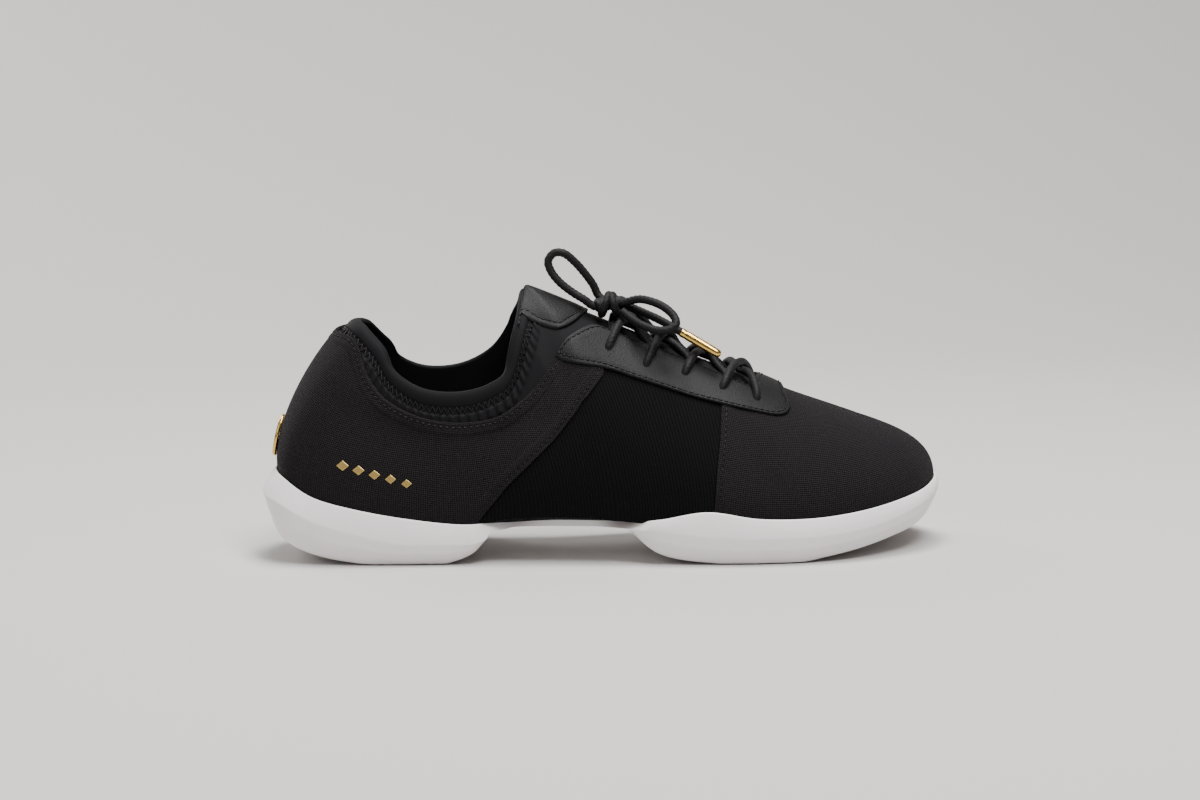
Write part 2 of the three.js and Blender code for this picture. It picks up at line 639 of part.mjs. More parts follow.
const finishes = {
  canvas: { color: "#262124", roughness: 0.92, metalness: 0 },
  neoprene: { color: "#1b1a1d", roughness: 0.8, metalness: 0 },
  leather: { color: "#1e1b1d", roughness: 0.6, metalness: 0 },
  foam: { color: "#eeebea", roughness: 0.6, metalness: 0 },
  liner: { color: "#2a282b", roughness: 0.95, metalness: 0 },
  lace: { color: "#1c1a1c", roughness: 0.85, metalness: 0 },
  gold: { color: "#c9a24e", roughness: 0.3, metalness: 1 },
};

function addPiece(name, solid, finish) {
  const mesh = solid.getMesh();
  const geometry = new THREE.BufferGeometry();
  geometry.setAttribute("position", new THREE.BufferAttribute(Float32Array.from(mesh.vertProperties), 3));
  geometry.setIndex(new THREE.BufferAttribute(Uint32Array.from(mesh.triVerts), 1));
  const piece = new THREE.Mesh(geometry, new THREE.MeshStandardMaterial(finishes[finish]));
  piece.name = name;
  shoe.add(piece);
  return piece;
}

const sole = addPiece("sole", makeSole(), "foam");
addPiece("insole", makeInsole(), "liner");
addPiece("upper", makeUpper(), "canvas");
addPiece("collar_tongue", makeCollar(), "neoprene");
addPiece("eyestay", makeEyestay(), "leather");
addPiece("tongue_patch", makePatch(), "leather");
addPiece("heel_charm", makeCharm(), "gold");
for (let front = 0; front + 1 < eyelets.length; front++) {
  addPiece(`lace_cross_${front + 1}`, makeCrossing(front), "lace");
}
addPiece("lace_bar_top", makeTopBar(), "lace");
addPiece("lace_knot", makeKnot(), "lace");
addPiece("bow_loop_upright", freeLace(uprightLoop, 22), "lace");
addPiece("bow_loop_forward", freeLace(forwardLoop, 18), "lace");
addPiece("lace_end_outer", freeLace(outerEnd, 7), "lace");
addPiece("lace_end_inner", freeLace(innerEnd, 7), "lace");
addPiece("aglet_outer", makeTip(outerEnd), "gold");
addPiece("aglet_inner", makeTip(innerEnd), "gold");

// The sole is the widest and lowest piece, so its box centres the shoe
const soleBox = new THREE.Box3().setFromObject(sole);
const soleCentre = soleBox.getCenter(vec(0, 0, 0));
shoe.position.set(-soleCentre.x, -soleCentre.y, -soleBox.min.z);

export default shoe;
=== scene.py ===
# Right low-cut dance sneaker with a split sole, standing empty on a pale floor.
# Toe towards +X, outer side towards -Y, Z up. Shapes are worked out in millimetres
# in the last's own axes and moved into the frame, in metres, when a mesh is made.
import math
import bmesh
import bpy
import numpy as np
from mathutils import Matrix, Vector


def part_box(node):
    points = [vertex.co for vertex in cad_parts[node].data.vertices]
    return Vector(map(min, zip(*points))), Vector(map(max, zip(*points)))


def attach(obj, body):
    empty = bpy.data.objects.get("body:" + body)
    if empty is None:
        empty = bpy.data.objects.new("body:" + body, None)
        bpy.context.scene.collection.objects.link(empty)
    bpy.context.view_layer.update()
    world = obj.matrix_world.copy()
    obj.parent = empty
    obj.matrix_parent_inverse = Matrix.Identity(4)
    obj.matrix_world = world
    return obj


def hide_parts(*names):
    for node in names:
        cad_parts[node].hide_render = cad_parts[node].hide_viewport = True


bl_info = {
    "name": "Dance sneaker",
    "version": (1, 0, 0),
    "blender": (4, 5, 0),
    "location": "View3D > Sidebar > Shoe",
    "description": "Makes a canvas dance sneaker with a split sole and a tied lace",
    "category": "Add Mesh",
}

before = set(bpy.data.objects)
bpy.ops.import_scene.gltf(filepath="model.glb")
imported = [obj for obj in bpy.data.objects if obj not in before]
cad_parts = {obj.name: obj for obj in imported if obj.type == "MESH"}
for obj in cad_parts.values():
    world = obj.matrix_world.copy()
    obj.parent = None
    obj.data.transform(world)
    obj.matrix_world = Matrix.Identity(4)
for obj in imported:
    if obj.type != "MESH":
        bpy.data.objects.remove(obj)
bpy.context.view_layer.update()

MM = 0.001

# Sizes of the form, the same as in the solids
heel_cup_height = 37.5
tongue_height = 112.5
ball_half_width = 46.8
bed_thickness = 19.0
upper_wall = 1.8
gore_drop = 0.7
collar_wall = 2.6
overlay_wall = 1.3
patch_wall = 1.2
badge_wall = 1.7
insole_wall = 3.0
clearance = 0.3
eyelet_bore = 4.6
lace_diameter = 3.6
aglet_diameter = 3.8
aglet_length = 18.5
ledge_reach = 6.6


# Properties

def length_of(label, about, millimetres):
    return bpy.props.FloatProperty(name=label, description=about, default=millimetres * MM, unit="LENGTH")


class ShoeSizes(bpy.types.PropertyGroup):
    """Small sizes of cloth, thread and lace"""
    canvas_thread: length_of("Canvas thread", "Width of one canvas thread", 0.85)
    gore_rib: length_of("Gore rib", "Spacing of the ribs of the elastic gore", 1.5)
    hem_width: length_of("Hem width", "Width of the canvas's folded edge", 5.5)
    hem_height: length_of("Hem height", "How far the folded edge stands up", 0.35)
    stitch_pitch: length_of("Stitch pitch", "From one stitch to the next", 2.5)
    stitch_thread: length_of("Stitch thread", "Thickness of the sewing thread", 0.55)
    stitch_margin: length_of("Stitch margin", "From an edge to its stitch line", 2.0)
    rim_roll: length_of("Rim roll", "Width of the collar's smooth rolled rim", 5.2)
    zigzag_width: length_of("Zigzag width", "Width of the collar's zigzag row", 3.2)
    zigzag_thread: length_of("Zigzag thread", "Thickness of the zigzag's doubled thread", 0.75)
    pucker_pitch: length_of("Pucker pitch", "From one pucker below the zigzag to the next", 3.7)
    pucker_depth: length_of("Pucker depth", "Height of the puckers", 0.85)
    braid_pitch: length_of("Braid pitch", "Spacing of the lace's plaits", 1.9)


def tint(label, hue):
    return bpy.props.StringProperty(name=label, description=label + " as an sRGB hex value", default=hue)


class ShoeColours(bpy.types.PropertyGroup):
    """Colours of the shoe's materials"""
    canvas: tint("Canvas", "#241f22")
    # canvas_shade is painted shade: the dark colour in the gaps between woven threads and in the hollows of
    # the gore's ribs; the leather, lining, lace and thread also use it as a dark tone for random mottling
    canvas_shade: tint("Canvas between the threads", "#040304")
    gore: tint("Elastic gore", "#0c0c0d")
    neoprene: tint("Neoprene face", "#0d0c0e")
    puckers: tint("Neoprene nap", "#131214")
    leather: tint("Microfibre leather", "#121112")
    lining: tint("Lining", "#141315")
    insole: tint("Insole cloth", "#232225")
    foam: tint("Sole foam", "#f1ecec")
    lace: tint("Lace", "#161416")
    thread: tint("Sewing thread", "#0e0d0e")
    gold: tint("Gold plating", "#d8b260")
    print: tint("Gold print", "#b3975a")
    floor: tint("Floor", "#bfbcb9")


def size(name):
    return getattr(bpy.context.scene.shoe_sizes, name) / MM


def colour(name):
    """sRGB hex value of a named colour, turned to linear"""
    digits = getattr(bpy.context.scene.shoe_colours, name).lstrip("#")
    shares = [int(digits[i:i + 2], 16) / 255 for i in (0, 2, 4)]
    return tuple(c / 12.92 if c <= 0.04045 else ((c + 0.055) / 1.055) ** 2.4 for c in shares) + (1.0,)


# The last

rib_columns = ("along", "lateral", "medial", "feather", "top_along", "top_lateral", "top_medial",
               "top_outer", "top_inner", "crown", "rise", "run", "lean", "bend")
rib_rows = (
    (0.022, 0.000, 0.000, 1.000, 0.143, 0.000, 0.000, 0.905, 0.905, 0.00, 0.36, 0.19, 0.74, 0.04),
    (0.038, 0.417, 0.417, 0.965, 0.155, 0.235, 0.235, 0.882, 0.884, 0.00, 0.36, 0.20, 0.60, 0.04),
    (0.080, 0.581, 0.581, 0.768, 0.176, 0.374, 0.374, 0.812, 0.808, 0.00, 0.36, 0.26, 0.35, 0.03),
    (0.141, 0.671, 0.658, 0.640, 0.196, 0.481, 0.481, 0.716, 0.726, 0.00, 0.36, 0.32, 0.16, 0.02),
    (0.221, 0.709, 0.669, 0.525, 0.239, 0.547, 0.538, 0.643, 0.676, 0.00, 0.36, 0.34, 0.12, 0.02),
    (0.305, 0.735, 0.630, 0.459, 0.294, 0.573, 0.556, 0.626, 0.683, 0.00, 0.36, 0.34, 0.12, 0.03),
    (0.374, 0.761, 0.588, 0.523, 0.343, 0.560, 0.526, 0.656, 0.747, 0.00, 0.36, 0.34, 0.14, 0.04),
    (0.430, 0.799, 0.577, 0.533, 0.374, 0.500, 0.419, 0.724, 0.844, 0.05, 0.36, 0.34, 0.24, 0.04),
    (0.479, 0.840, 0.607, 0.525, 0.386, 0.321, 0.278, 0.884, 0.933, 0.40, 0.36, 0.34, 0.55, 0.03),
    (0.524, 0.880, 0.662, 0.493, 0.395, -0.021, 0.021, 1.004, 1.004, 1.00, 0.36, 0.34, 1.00, 0.02),
    (0.580, 0.927, 0.759, 0.512, 0.479, -0.043, 0.043, 0.916, 0.916, 1.00, 0.34, 0.33, 1.00, 0.01),
    (0.650, 0.974, 0.876, 0.595, 0.587, -0.064, 0.064, 0.796, 0.796, 1.00, 0.34, 0.33, 1.00, 0.00),
    (0.723, 1.000, 0.974, 0.515, 0.688, -0.085, 0.085, 0.684, 0.684, 1.00, 0.40, 0.44, 1.00, 0.00),
    (0.800, 0.957, 1.017, 0.501, 0.779, -0.107, 0.107, 0.580, 0.580, 1.00, 0.46, 0.50, 1.00, 0.00),
    (0.870, 0.812, 0.953, 0.541, 0.838, -0.128, 0.128, 0.524, 0.524, 1.00, 0.50, 0.52, 1.00, 0.00),
    (0.929, 0.560, 0.799, 0.605, 0.866, -0.150, 0.150, 0.497, 0.497, 1.00, 0.52, 0.52, 1.00, 0.00),
    (0.971, 0.269, 0.588, 0.675, 0.878, -0.162, 0.162, 0.485, 0.485, 1.00, 0.54, 0.52, 1.00, 0.00),
    (0.993, -0.171, 0.171, 0.739, 0.884, -0.171, 0.171, 0.480, 0.480, 1.00, 0.56, 0.52, 1.00, 0.00),
)
rib_table = {name: np.array([row[i] for row in rib_rows]) for i, name in enumerate(rib_columns)}
last_row = len(rib_rows) - 1
ring_rows = 2 * last_row
tongue_top_row = 9

sole_columns = ("lip", "out", "ridge")
sole_rows = (
    (1, 1.00, 0.773), (1, 0.91, 0.720), (1, 0.64, 0.520), (1, 0.48, 0.365), (1, 0.45, 0.245),
    (1, 0.39, 0.240), (0, -0.76, 0.405), (0, -0.91, 0.405), (0, -0.91, 0.405), (0, -0.45, 0.400),
    (1, 0.30, 0.384), (1, 0.42, 0.328), (1, 0.42, 0.299), (1, 0.45, 0.304), (1, 0.45, 0.355),
    (1, 0.45, 0.453), (1, 0.39, 0.560), (1, 0.30, 0.643),
)
sole_table = {name: np.array([row[i] for row in sole_rows]) for i, name in enumerate(sole_columns)}

sole_low, sole_high = (np.array(corner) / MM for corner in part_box("sole"))
end_ledges = (sole_table["out"][0] + sole_table["out"][-1]) * ledge_reach
shoe_length = (sole_high[0] - sole_low[0] - end_ledges) / (rib_table["along"][-1] - rib_table["along"][0])


def along_x(share):
    return (np.asarray(share) - 0.5) * shoe_length


def unit(vectors):
    return vectors / np.maximum(np.linalg.norm(vectors, axis=-1, keepdims=True), 1e-9)


def mix(a, b, share):
    return a + (b - a) * share


def smooth_step(x, low, high):
    s = np.clip((x - low) / (high - low), 0, 1)
    return s * s * (3 - 2 * s)


def hermite(s, span, first, last, first_slope, last_slope):
    """Cubic from first to last over a span, with a slope at each end"""
    s2 = s * s
    s3 = s2 * s
    return ((2 * s3 - 3 * s2 + 1) * first + (s3 - 2 * s2 + s) * span * first_slope
            + (3 * s2 - 2 * s3) * last + (s3 - s2) * span * last_slope)


def run_along(points):
    """Length from the first point of a line, for every point"""
    return np.concatenate([[0], np.cumsum(np.linalg.norm(np.diff(points, axis=0), axis=1))])


def smooth_curve(places, values):
    """Smooth curve through places and values, without overshoot"""
    places = np.asarray(places, float)
    values = np.asarray(values, float)
    slopes = np.diff(values) / np.diff(places)
    before, after = slopes[:-1], slopes[1:]
    total = np.where(before + after == 0, 1, before + after)
    inner = np.where(before * after <= 0, 0, 2 * before * after / total)
    tangents = np.concatenate([slopes[:1], inner, slopes[-1:]])

    def at(place):
        place = np.clip(place, places[0], places[-1])
        i = np.clip(np.searchsorted(places, place) - 1, 0, len(places) - 2)
        span = places[i + 1] - places[i]
        s = (place - places[i]) / span
        return hermite(s, span, values[i], values[i + 1], tangents[i], tangents[i + 1])
    return at


def ring_curve(outer, inner, rounded=0):
    """Curve round the shoe: heel, outer side, toe, inner side. Rows before rounded have
    averaged tangents. Later ones don't overshoot, and both sides share their tangents."""
    turns = np.arange(-3, ring_rows + 4) % ring_rows
    near = np.minimum(turns, ring_rows - turns)
    outside = turns <= last_row
    values = np.where(outside, outer[near], inner[near])
    before, after = np.diff(values)[:-1], np.diff(values)[1:]
    total = np.where(before + after == 0, 1, before + after)
    level = np.where(before * after <= 0, 0, 2 * before * after / total)
    near, outside = near[1:-1], outside[1:-1]
    shared = (level[near + 2] - level[ring_rows - near + 2]) / 2 * np.where(outside, 1, -1)
    tangents = np.where(near < rounded, (before + after) / 2, shared)

    def at(place):
        place = np.mod(place, ring_rows)
        i = np.minimum(np.asarray(place).astype(int), ring_rows - 1)
        return hermite(place - i, 1, values[i + 3], values[i + 4], tangents[i + 2], tangents[i + 3])
    return at


def both_sides(name):
    return ring_curve(rib_table[name], rib_table[name])


base_x = ring_curve(along_x(rib_table["along"]), along_x(rib_table["along"]), ring_rows)
base_y = ring_curve(-rib_table["lateral"] * ball_half_width, rib_table["medial"] * ball_half_width, ring_rows)
base_z = ring_curve(rib_table["feather"] * heel_cup_height, rib_table["feather"] * heel_cup_height, ring_rows)
top_x = ring_curve(along_x(rib_table["top_along"]), along_x(rib_table["top_along"]), tongue_top_row)
top_y = ring_curve(-rib_table["top_lateral"] * ball_half_width, rib_table["top_medial"] * ball_half_width,
                   tongue_top_row)
top_z = ring_curve(rib_table["top_outer"] * tongue_height, rib_table["top_inner"] * tongue_height,
                   tongue_top_row)
crown_at = both_sides("crown")
rise_at = both_sides("rise")
run_at = both_sides("run")
lean_at = both_sides("lean")
bend_at = both_sides("bend")
ridge_z = smooth_curve(along_x(rib_table["top_along"][tongue_top_row:]),
                       rib_table["top_outer"][tongue_top_row:] * tongue_height)

bed_curve = smooth_curve(
    along_x([0.00, 0.10, 0.22, 0.34, 0.44, 0.54, 0.64, 0.74, 0.84, 0.93, 1.00]),
    np.array([1.16, 1.02, 0.88, 0.86, 0.92, 0.90, 0.84, 0.80, 0.86, 1.02, 1.24]) * bed_thickness)

heel_pod_end = 0.338
front_pod_start = 0.532
pod_blend = 0.03
cup_tuck = 0.8
arch_tuck = 5.5


def arch_share(x):
    rising, falling = (smooth_step(x, along_x(end - pod_blend), along_x(end + pod_blend))
                       for end in (heel_pod_end, front_pod_start))
    return rising * (1 - falling)


def outward_of(curve_x, curve_y, place):
    step = 0.05
    dx = curve_x(place + step) - curve_x(place - step)
    dy = curve_y(place + step) - curve_y(place - step)
    return unit(np.stack([dy, -dx, np.zeros_like(dx)], -1))


def stack3(x, y, z):
    return np.stack(np.broadcast_arrays(x, y, z), -1)


def skin(place, share, offset=0.0):
    """Point of the foot form on a rib, moved outwards by offset. A share under 0 runs in
    over the sole, 0 is the feather line and 1 the collar rim or the ridge line."""
    place, share, offset = np.broadcast_arrays(np.asarray(place, float), share, offset)
    base = stack3(base_x(place), base_y(place), base_z(place))
    top = stack3(top_x(place), top_y(place), top_z(place))
    crown = crown_at(place)[..., None]
    lean = lean_at(place)[..., None]
    up = np.array([0.0, 0.0, 1.0])
    outward = outward_of(base_x, base_y, place)
    rim_outward = np.where(crown < 0.999, outward_of(top_x, top_y, place), outward)
    to_base = (base - top) * [1, 1, 0]
    width = np.linalg.norm(to_base, axis=-1, keepdims=True)
    level = unit(mix(rim_outward, unit(to_base), crown))
    probe = np.clip(top[..., 0], along_x(rib_table["top_along"][tongue_top_row]) + 2,
                    along_x(rib_table["top_along"][-1]) - 2)
    slope = ((ridge_z(probe + 2) - ridge_z(probe - 2)) / 4)[..., None]
    away = level * lean + up * (crown * slope * level[..., :1] * lean - (1 - lean))
    reach = run_at(place)[..., None] * mix(np.linalg.norm(base - top, axis=-1, keepdims=True), width, crown)
    rim_normal = unit(rim_outward * (1 - lean) + up * lean)
    ridge_normal = unit(np.concatenate([-slope, np.zeros_like(slope), np.ones_like(slope)], -1))
    top_normal = unit(mix(rim_normal, ridge_normal, crown))
    height = (top - base)[..., 2:]
    grown = offset[..., None]
    low = base + outward * grown
    belly = low + outward * bend_at(place)[..., None] * height + up * rise_at(place)[..., None] * height
    high = top + top_normal * grown
    shoulder = high + away * reach
    s = np.clip(share, 0, 1)[..., None]
    r = 1 - s
    point = low * r ** 3 + belly * 3 * r * r * s + shoulder * 3 * r * s * s + high * s ** 3
    tuck = mix(cup_tuck, arch_tuck, arch_share(base[..., 0]))[..., None]
    tucked = (base + outward * (grown - tuck)) * [1, 1, 0]
    tucked[..., 2] = bed_curve(tucked[..., 0]) + clearance - offset
    return mix(point, tucked, np.clip(-share, 0, 1)[..., None])


def place_on(side, near):
    """Ring place of a row on one side"""
    return near if side < 0 else ring_rows - near


def normal_at(place, share, step):
    """Outward normal of the foot form"""
    round_way = skin(place + step, share) - skin(place - step, share)
    up_way = skin(place, share + step) - skin(place, share - step)
    return unit(np.cross(round_way, up_way))


def near_of(place):
    """Row of a ring place, counted from the heel on its own side"""
    turned = np.mod(place, ring_rows)
    return np.minimum(turned, ring_rows - turned)


def locate(side, x, z):
    """Place and share of the point seen at x, z from one side"""
    near = np.full(np.shape(x), tongue_top_row + 2.0)
    share = np.full(np.shape(x), 0.8)
    step = 0.02
    for _ in range(24):
        here = skin(place_on(side, near), share)
        by_row = (skin(place_on(side, near + step), share) - here) / step
        by_share = (skin(place_on(side, near), share + step) - here) / step
        gap_x = x - here[..., 0]
        gap_z = z - here[..., 2]
        area = by_row[..., 0] * by_share[..., 2] - by_row[..., 2] * by_share[..., 0]
        near = near + np.clip((gap_x * by_share[..., 2] - gap_z * by_share[..., 0]) / area, -0.6, 0.6)
        share = share + np.clip((by_row[..., 0] * gap_z - by_row[..., 2] * gap_x) / area, -0.1, 0.1)
        near = np.clip(near, 2, last_row - 0.5)
        share = np.clip(share, 0.0, 0.97)
    return place_on(side, near), share


# Side-view lines, heel to toe: shares of the shoe's length and the tongue's height

def side_line(table, steps=0):
    """Points of a side-view line, through a smooth curve where steps is given"""
    points = np.array([(along_x(a), h * tongue_height) for a, h in table])
    if not steps:
        return points
    padded = np.concatenate([2 * points[:1] - points[1:2], points, 2 * points[-1:] - points[-2:-1]])
    t = np.linspace(0, len(points) - 1, steps * (len(points) - 1) + 1)
    i = np.minimum(t.astype(int), len(points) - 2)
    s = (t - i)[:, None]
    a, b, c, d = (padded[i + k] for k in range(4))
    return 0.5 * (2 * b + (c - a) * s + (2 * a - 5 * b + 4 * c - d) * s * s
                  + (3 * b - a - 3 * c + d) * s ** 3)


collar_skew = 0.095
canvas_edge = side_line((
    (0.085, 0.850), (0.112, 0.852), (0.140, 0.847), (0.150, 0.815), (0.155, 0.770), (0.163, 0.712),
    (0.180, 0.652), (0.200, 0.613), (0.226, 0.580), (0.257, 0.557), (0.295, 0.547), (0.334, 0.556),
    (0.361, 0.578), (0.395, 0.638), (0.417, 0.694), (0.436, 0.748)), 12)
throat_edge = side_line((
    (0.436, 0.748), (0.443, 0.785), (0.457, 0.820), (0.484, 0.848), (0.505, 0.838), (0.546, 0.793),
    (0.596, 0.742), (0.646, 0.686), (0.708, 0.618), (0.722, 0.624), (0.731, 0.650)), 12)
eyestay_edge = side_line((
    (0.436, 0.748), (0.452, 0.731), (0.505, 0.706), (0.550, 0.667), (0.592, 0.630), (0.636, 0.592),
    (0.680, 0.562), (0.724, 0.534), (0.752, 0.518), (0.768, 0.520), (0.775, 0.541), (0.771, 0.561)), 12)
gore_rear = side_line(((0.506, 0.690), (0.470, 0.575), (0.434, 0.461), (0.363, 0.290), (0.322, 0.165)))
gore_front = side_line(((0.658, 0.170), (0.664, 0.330), (0.671, 0.455), (0.675, 0.560)))
collar_lower = side_line((
    (0.060, 0.752), (0.110, 0.748), (0.140, 0.640), (0.180, 0.540), (0.230, 0.470), (0.295, 0.440),
    (0.361, 0.460), (0.410, 0.540), (0.450, 0.620), (0.500, 0.650), (0.560, 0.610), (0.630, 0.560),
    (0.690, 0.530), (0.735, 0.530)), 12)
eyelet_table = ((0.725, 0.571), (0.676, 0.615), (0.622, 0.669), (0.566, 0.707), (0.512, 0.770))
canvas_top = np.concatenate([canvas_edge, throat_edge[1:]])
throat_front_x = throat_edge[-1, 0]
tongue_front_x = along_x(0.752)

# Fine tables of ring places and shares for finding where a rib meets a line
fine_places = np.linspace(0, ring_rows, 34 * 20 + 1)
fine_shares = np.linspace(0, 1, 301)
fine_points = skin(fine_places[:, None], fine_shares[None, :])


def first_share(over):
    """Share at which each fine rib first comes over a line; 1 where it never does"""
    crossed = over > 0
    first = np.argmax(crossed, axis=1)
    never = ~crossed.any(axis=1)
    at = np.maximum(first, 1)
    rows = np.arange(len(fine_places))
    low, high = over[rows, at - 1], over[rows, at]
    with np.errstate(divide="ignore", invalid="ignore"):
        part = np.where(high != low, -low / (high - low), 0)
    found = fine_shares[at - 1] + np.clip(part, 0, 1) * (fine_shares[1] - fine_shares[0])
    return np.where(never, 1.0, np.where(first == 0, 0.0, found))


def over_line(line, skew, end_x):
    """Height of the fine points over a side-view line that stops at end_x"""
    x, y, z = (fine_points[..., i] for i in range(3))
    lift = skew * y * (1 - smooth_step(x, along_x(0.40), along_x(0.45)))
    height = z - np.interp(x, line[:, 0], line[:, 1]) - lift
    return np.where(x > end_x, -1.0, height)


top_shares = first_share(over_line(canvas_top, collar_skew, throat_front_x))
sock_shares = first_share(over_line(collar_lower, 0.0, tongue_front_x))


def canvas_top_share(place):
    return np.interp(np.mod(place, ring_rows), fine_places, top_shares)


def sock_low_share(place):
    return np.interp(np.mod(place, ring_rows), fine_places, sock_shares)


def seam_rows(side, line):
    """For each fine share, the row at which the foot form meets a steep side line"""
    order = np.argsort(line[:, 1])
    rows = np.linspace(2, 15, 391)
    points = skin(place_on(side, rows)[None, :], fine_shares[:, None])
    beyond = points[..., 0] - np.interp(points[..., 2], line[order, 1], line[order, 0])
    first = np.maximum(np.argmax(beyond > 0, axis=1), 1)
    at = np.arange(len(fine_shares))
    low, high = beyond[at, first - 1], beyond[at, first]
    return rows[first - 1] + np.clip(-low / (high - low), 0, 1) * (rows[1] - rows[0])


seams = {(name, side): seam_rows(side, line)
         for name, line in (("rear", gore_rear), ("front", gore_front)) for side in (-1, 1)}


def seam_path(name, side, count=721):
    """Ring places and shares at even steps along a seam, from the feather line to the
    canvas's top edge"""
    places = place_on(side, seams[name, side])
    end = int(np.argmax(fine_shares >= canvas_top_share(places)))
    places, shares = places[:end + 1], fine_shares[:end + 1].copy()
    shares[-1] = canvas_top_share(places[-1])
    points = skin(places, shares)
    run = run_along(points)
    even = np.linspace(0, run[-1], count)
    return np.stack([np.interp(even, run, places), np.interp(even, run, shares)], -1)


# Length up each rib and round the ring, for cloth that lies evenly
coarse_places = np.linspace(0, ring_rows, 34 * 6 + 1)
coarse_shares = np.linspace(0, 1, 41)
coarse_points = skin(coarse_places[:, None], coarse_shares[None, :])
up_lengths = np.concatenate([
    np.zeros((len(coarse_places), 1)),
    np.cumsum(np.linalg.norm(np.diff(coarse_points, axis=1), axis=-1), axis=1)], axis=1)
round_lengths = run_along(coarse_points[:, 16])


def cloth_uv(place, share):
    """Flat cloth coordinates in millimetres: round the shoe and up the ribs"""
    turned = np.mod(place, ring_rows)
    row = turned * 6
    i = np.clip(row.astype(int), 0, len(coarse_places) - 2)
    column = np.clip(share, 0, 1) * 40
    j = np.clip(column.astype(int), 0, 39)
    s, t = row - i, column - j
    up = ((1 - s) * ((1 - t) * up_lengths[i, j] + t * up_lengths[i, j + 1])
          + s * ((1 - t) * up_lengths[i + 1, j] + t * up_lengths[i + 1, j + 1]))
    laps = np.floor_divide(place, ring_rows) * round_lengths[-1]
    round_way = np.interp(turned, coarse_places, round_lengths) + laps
    return np.stack([round_way, up + np.minimum(share, 0) * 8], -1)


# Into the frame

def ledge_ring(place, inset, share, lift=0.0):
    """Ring of the sole's side: how far in from the ridge, and its share of the height
    between the underside and the ridge"""
    outward = outward_of(base_x, base_y, place)
    near = near_of(place)
    base = stack3(base_x(place), base_y(place), 0.0)
    point = base + outward * (out_at(near) * ledge_reach - inset)[..., None]
    keel = keel_curve(point[..., 0])
    ridge = np.maximum(ridge_at(near) * heel_cup_height, keel)
    point[..., 2] = keel + (ridge - keel) * share + lift
    return point


lip_at, out_at, ridge_at = (smooth_curve(np.arange(last_row + 1), sole_table[name]) for name in sole_columns)
keel_rows = (
    (0.000, 0.640), (0.012, 0.413), (0.026, 0.293), (0.050, 0.187), (0.078, 0.107), (0.116, 0.043),
    (0.165, 0.000), (0.270, 0.000), (0.287, 0.032), (0.312, 0.120), (0.329, 0.253), (0.341, 0.375),
    (0.430, 0.395), (0.517, 0.395), (0.533, 0.385), (0.545, 0.310), (0.560, 0.205), (0.578, 0.115),
    (0.601, 0.059), (0.638, 0.019), (0.674, 0.000), (0.779, 0.000), (0.821, 0.045), (0.868, 0.104),
    (0.917, 0.181), (0.953, 0.248), (0.986, 0.368), (1.000, 0.480),
)
keel_curve = smooth_curve([along_x(a) for a, _ in keel_rows], [h * heel_cup_height for _, h in keel_rows])

ridge_ring = ledge_ring(np.linspace(0, ring_rows, 341)[:-1], 0.0, 1.0)
shift = np.array([0.0, 0.0, 0.0])
shift[:2] = (sole_low[:2] + sole_high[:2]) / 2 - (ridge_ring[:, :2].min(0) + ridge_ring[:, :2].max(0)) / 2


def to_frame(points):
    return (np.asarray(points, float) + shift) * MM


# Meshes

def put(name, data):
    """New object in the scene"""
    item = bpy.data.objects.new(name, data)
    bpy.context.scene.collection.objects.link(item)
    return item


def smooth_shade(mesh):
    mesh.polygons.foreach_set("use_smooth", np.ones(len(mesh.polygons), bool))


def make_object(name, points, faces, finishes, finish_of_face=None, uv=None, sharp=None):
    """Mesh piece from points in millimetres, with a material slot for each finish"""
    mesh = bpy.data.meshes.new(name)
    mesh.from_pydata(to_frame(points).tolist(), [], [list(map(int, f)) for f in faces])
    for finish in finishes:
        mesh.materials.append(finish)
    smooth_shade(mesh)
    if finish_of_face is not None:
        mesh.polygons.foreach_set("material_index", np.asarray(finish_of_face, np.int32))
    if uv is not None:
        corners = np.empty(len(mesh.loops), np.int32)
        mesh.loops.foreach_get("vertex_index", corners)
        layer = mesh.uv_layers.new(name="cloth")
        layer.data.foreach_set("uv", np.asarray(uv, np.float32)[corners].ravel())
    mesh.update()
    return put(name, mesh)


def grid_faces(rows, columns, start=0, closed=False, flip=False):
    """Quads of a grid of points, row by row; closed joins its last column to its first"""
    across = np.arange(columns if closed else columns - 1)
    beside = (across + 1) % columns
    below = np.arange(rows - 1)[:, None] * columns
    quads = np.stack([below + across, below + beside, below + columns + beside, below + columns + across], -1)
    quads = quads.reshape(-1, 4) + start
    return quads[:, ::-1] if flip else quads


def capped_faces(layers, sides):
    """Faces of a tube of rings, with one face over each end"""
    caps = [tuple(range(sides - 1, -1, -1)), tuple(range(sides * (layers - 1), sides * layers))]
    return [tuple(f) for f in grid_faces(layers, sides, 0, True)] + caps


def plain_faces(blocks):
    """Faces of several blocks, without corners that repeat and faces of less than three"""
    flat = [tuple(dict.fromkeys(int(i) for i in face)) for block in blocks for face in block]
    return [face for face in flat if len(face) > 2]


def halves_of(ring):
    """A closed row cut lengthwise: both halves start at the heel and end at the toe"""
    half = len(ring) // 2
    return ring[:half + 1], np.concatenate([ring[:1], ring[:half - 1:-1]])


def strip_faces(first, second):
    """Quads between two equally long rows of point numbers"""
    return np.stack([first[:-1], first[1:], second[1:], second[:-1]], -1)


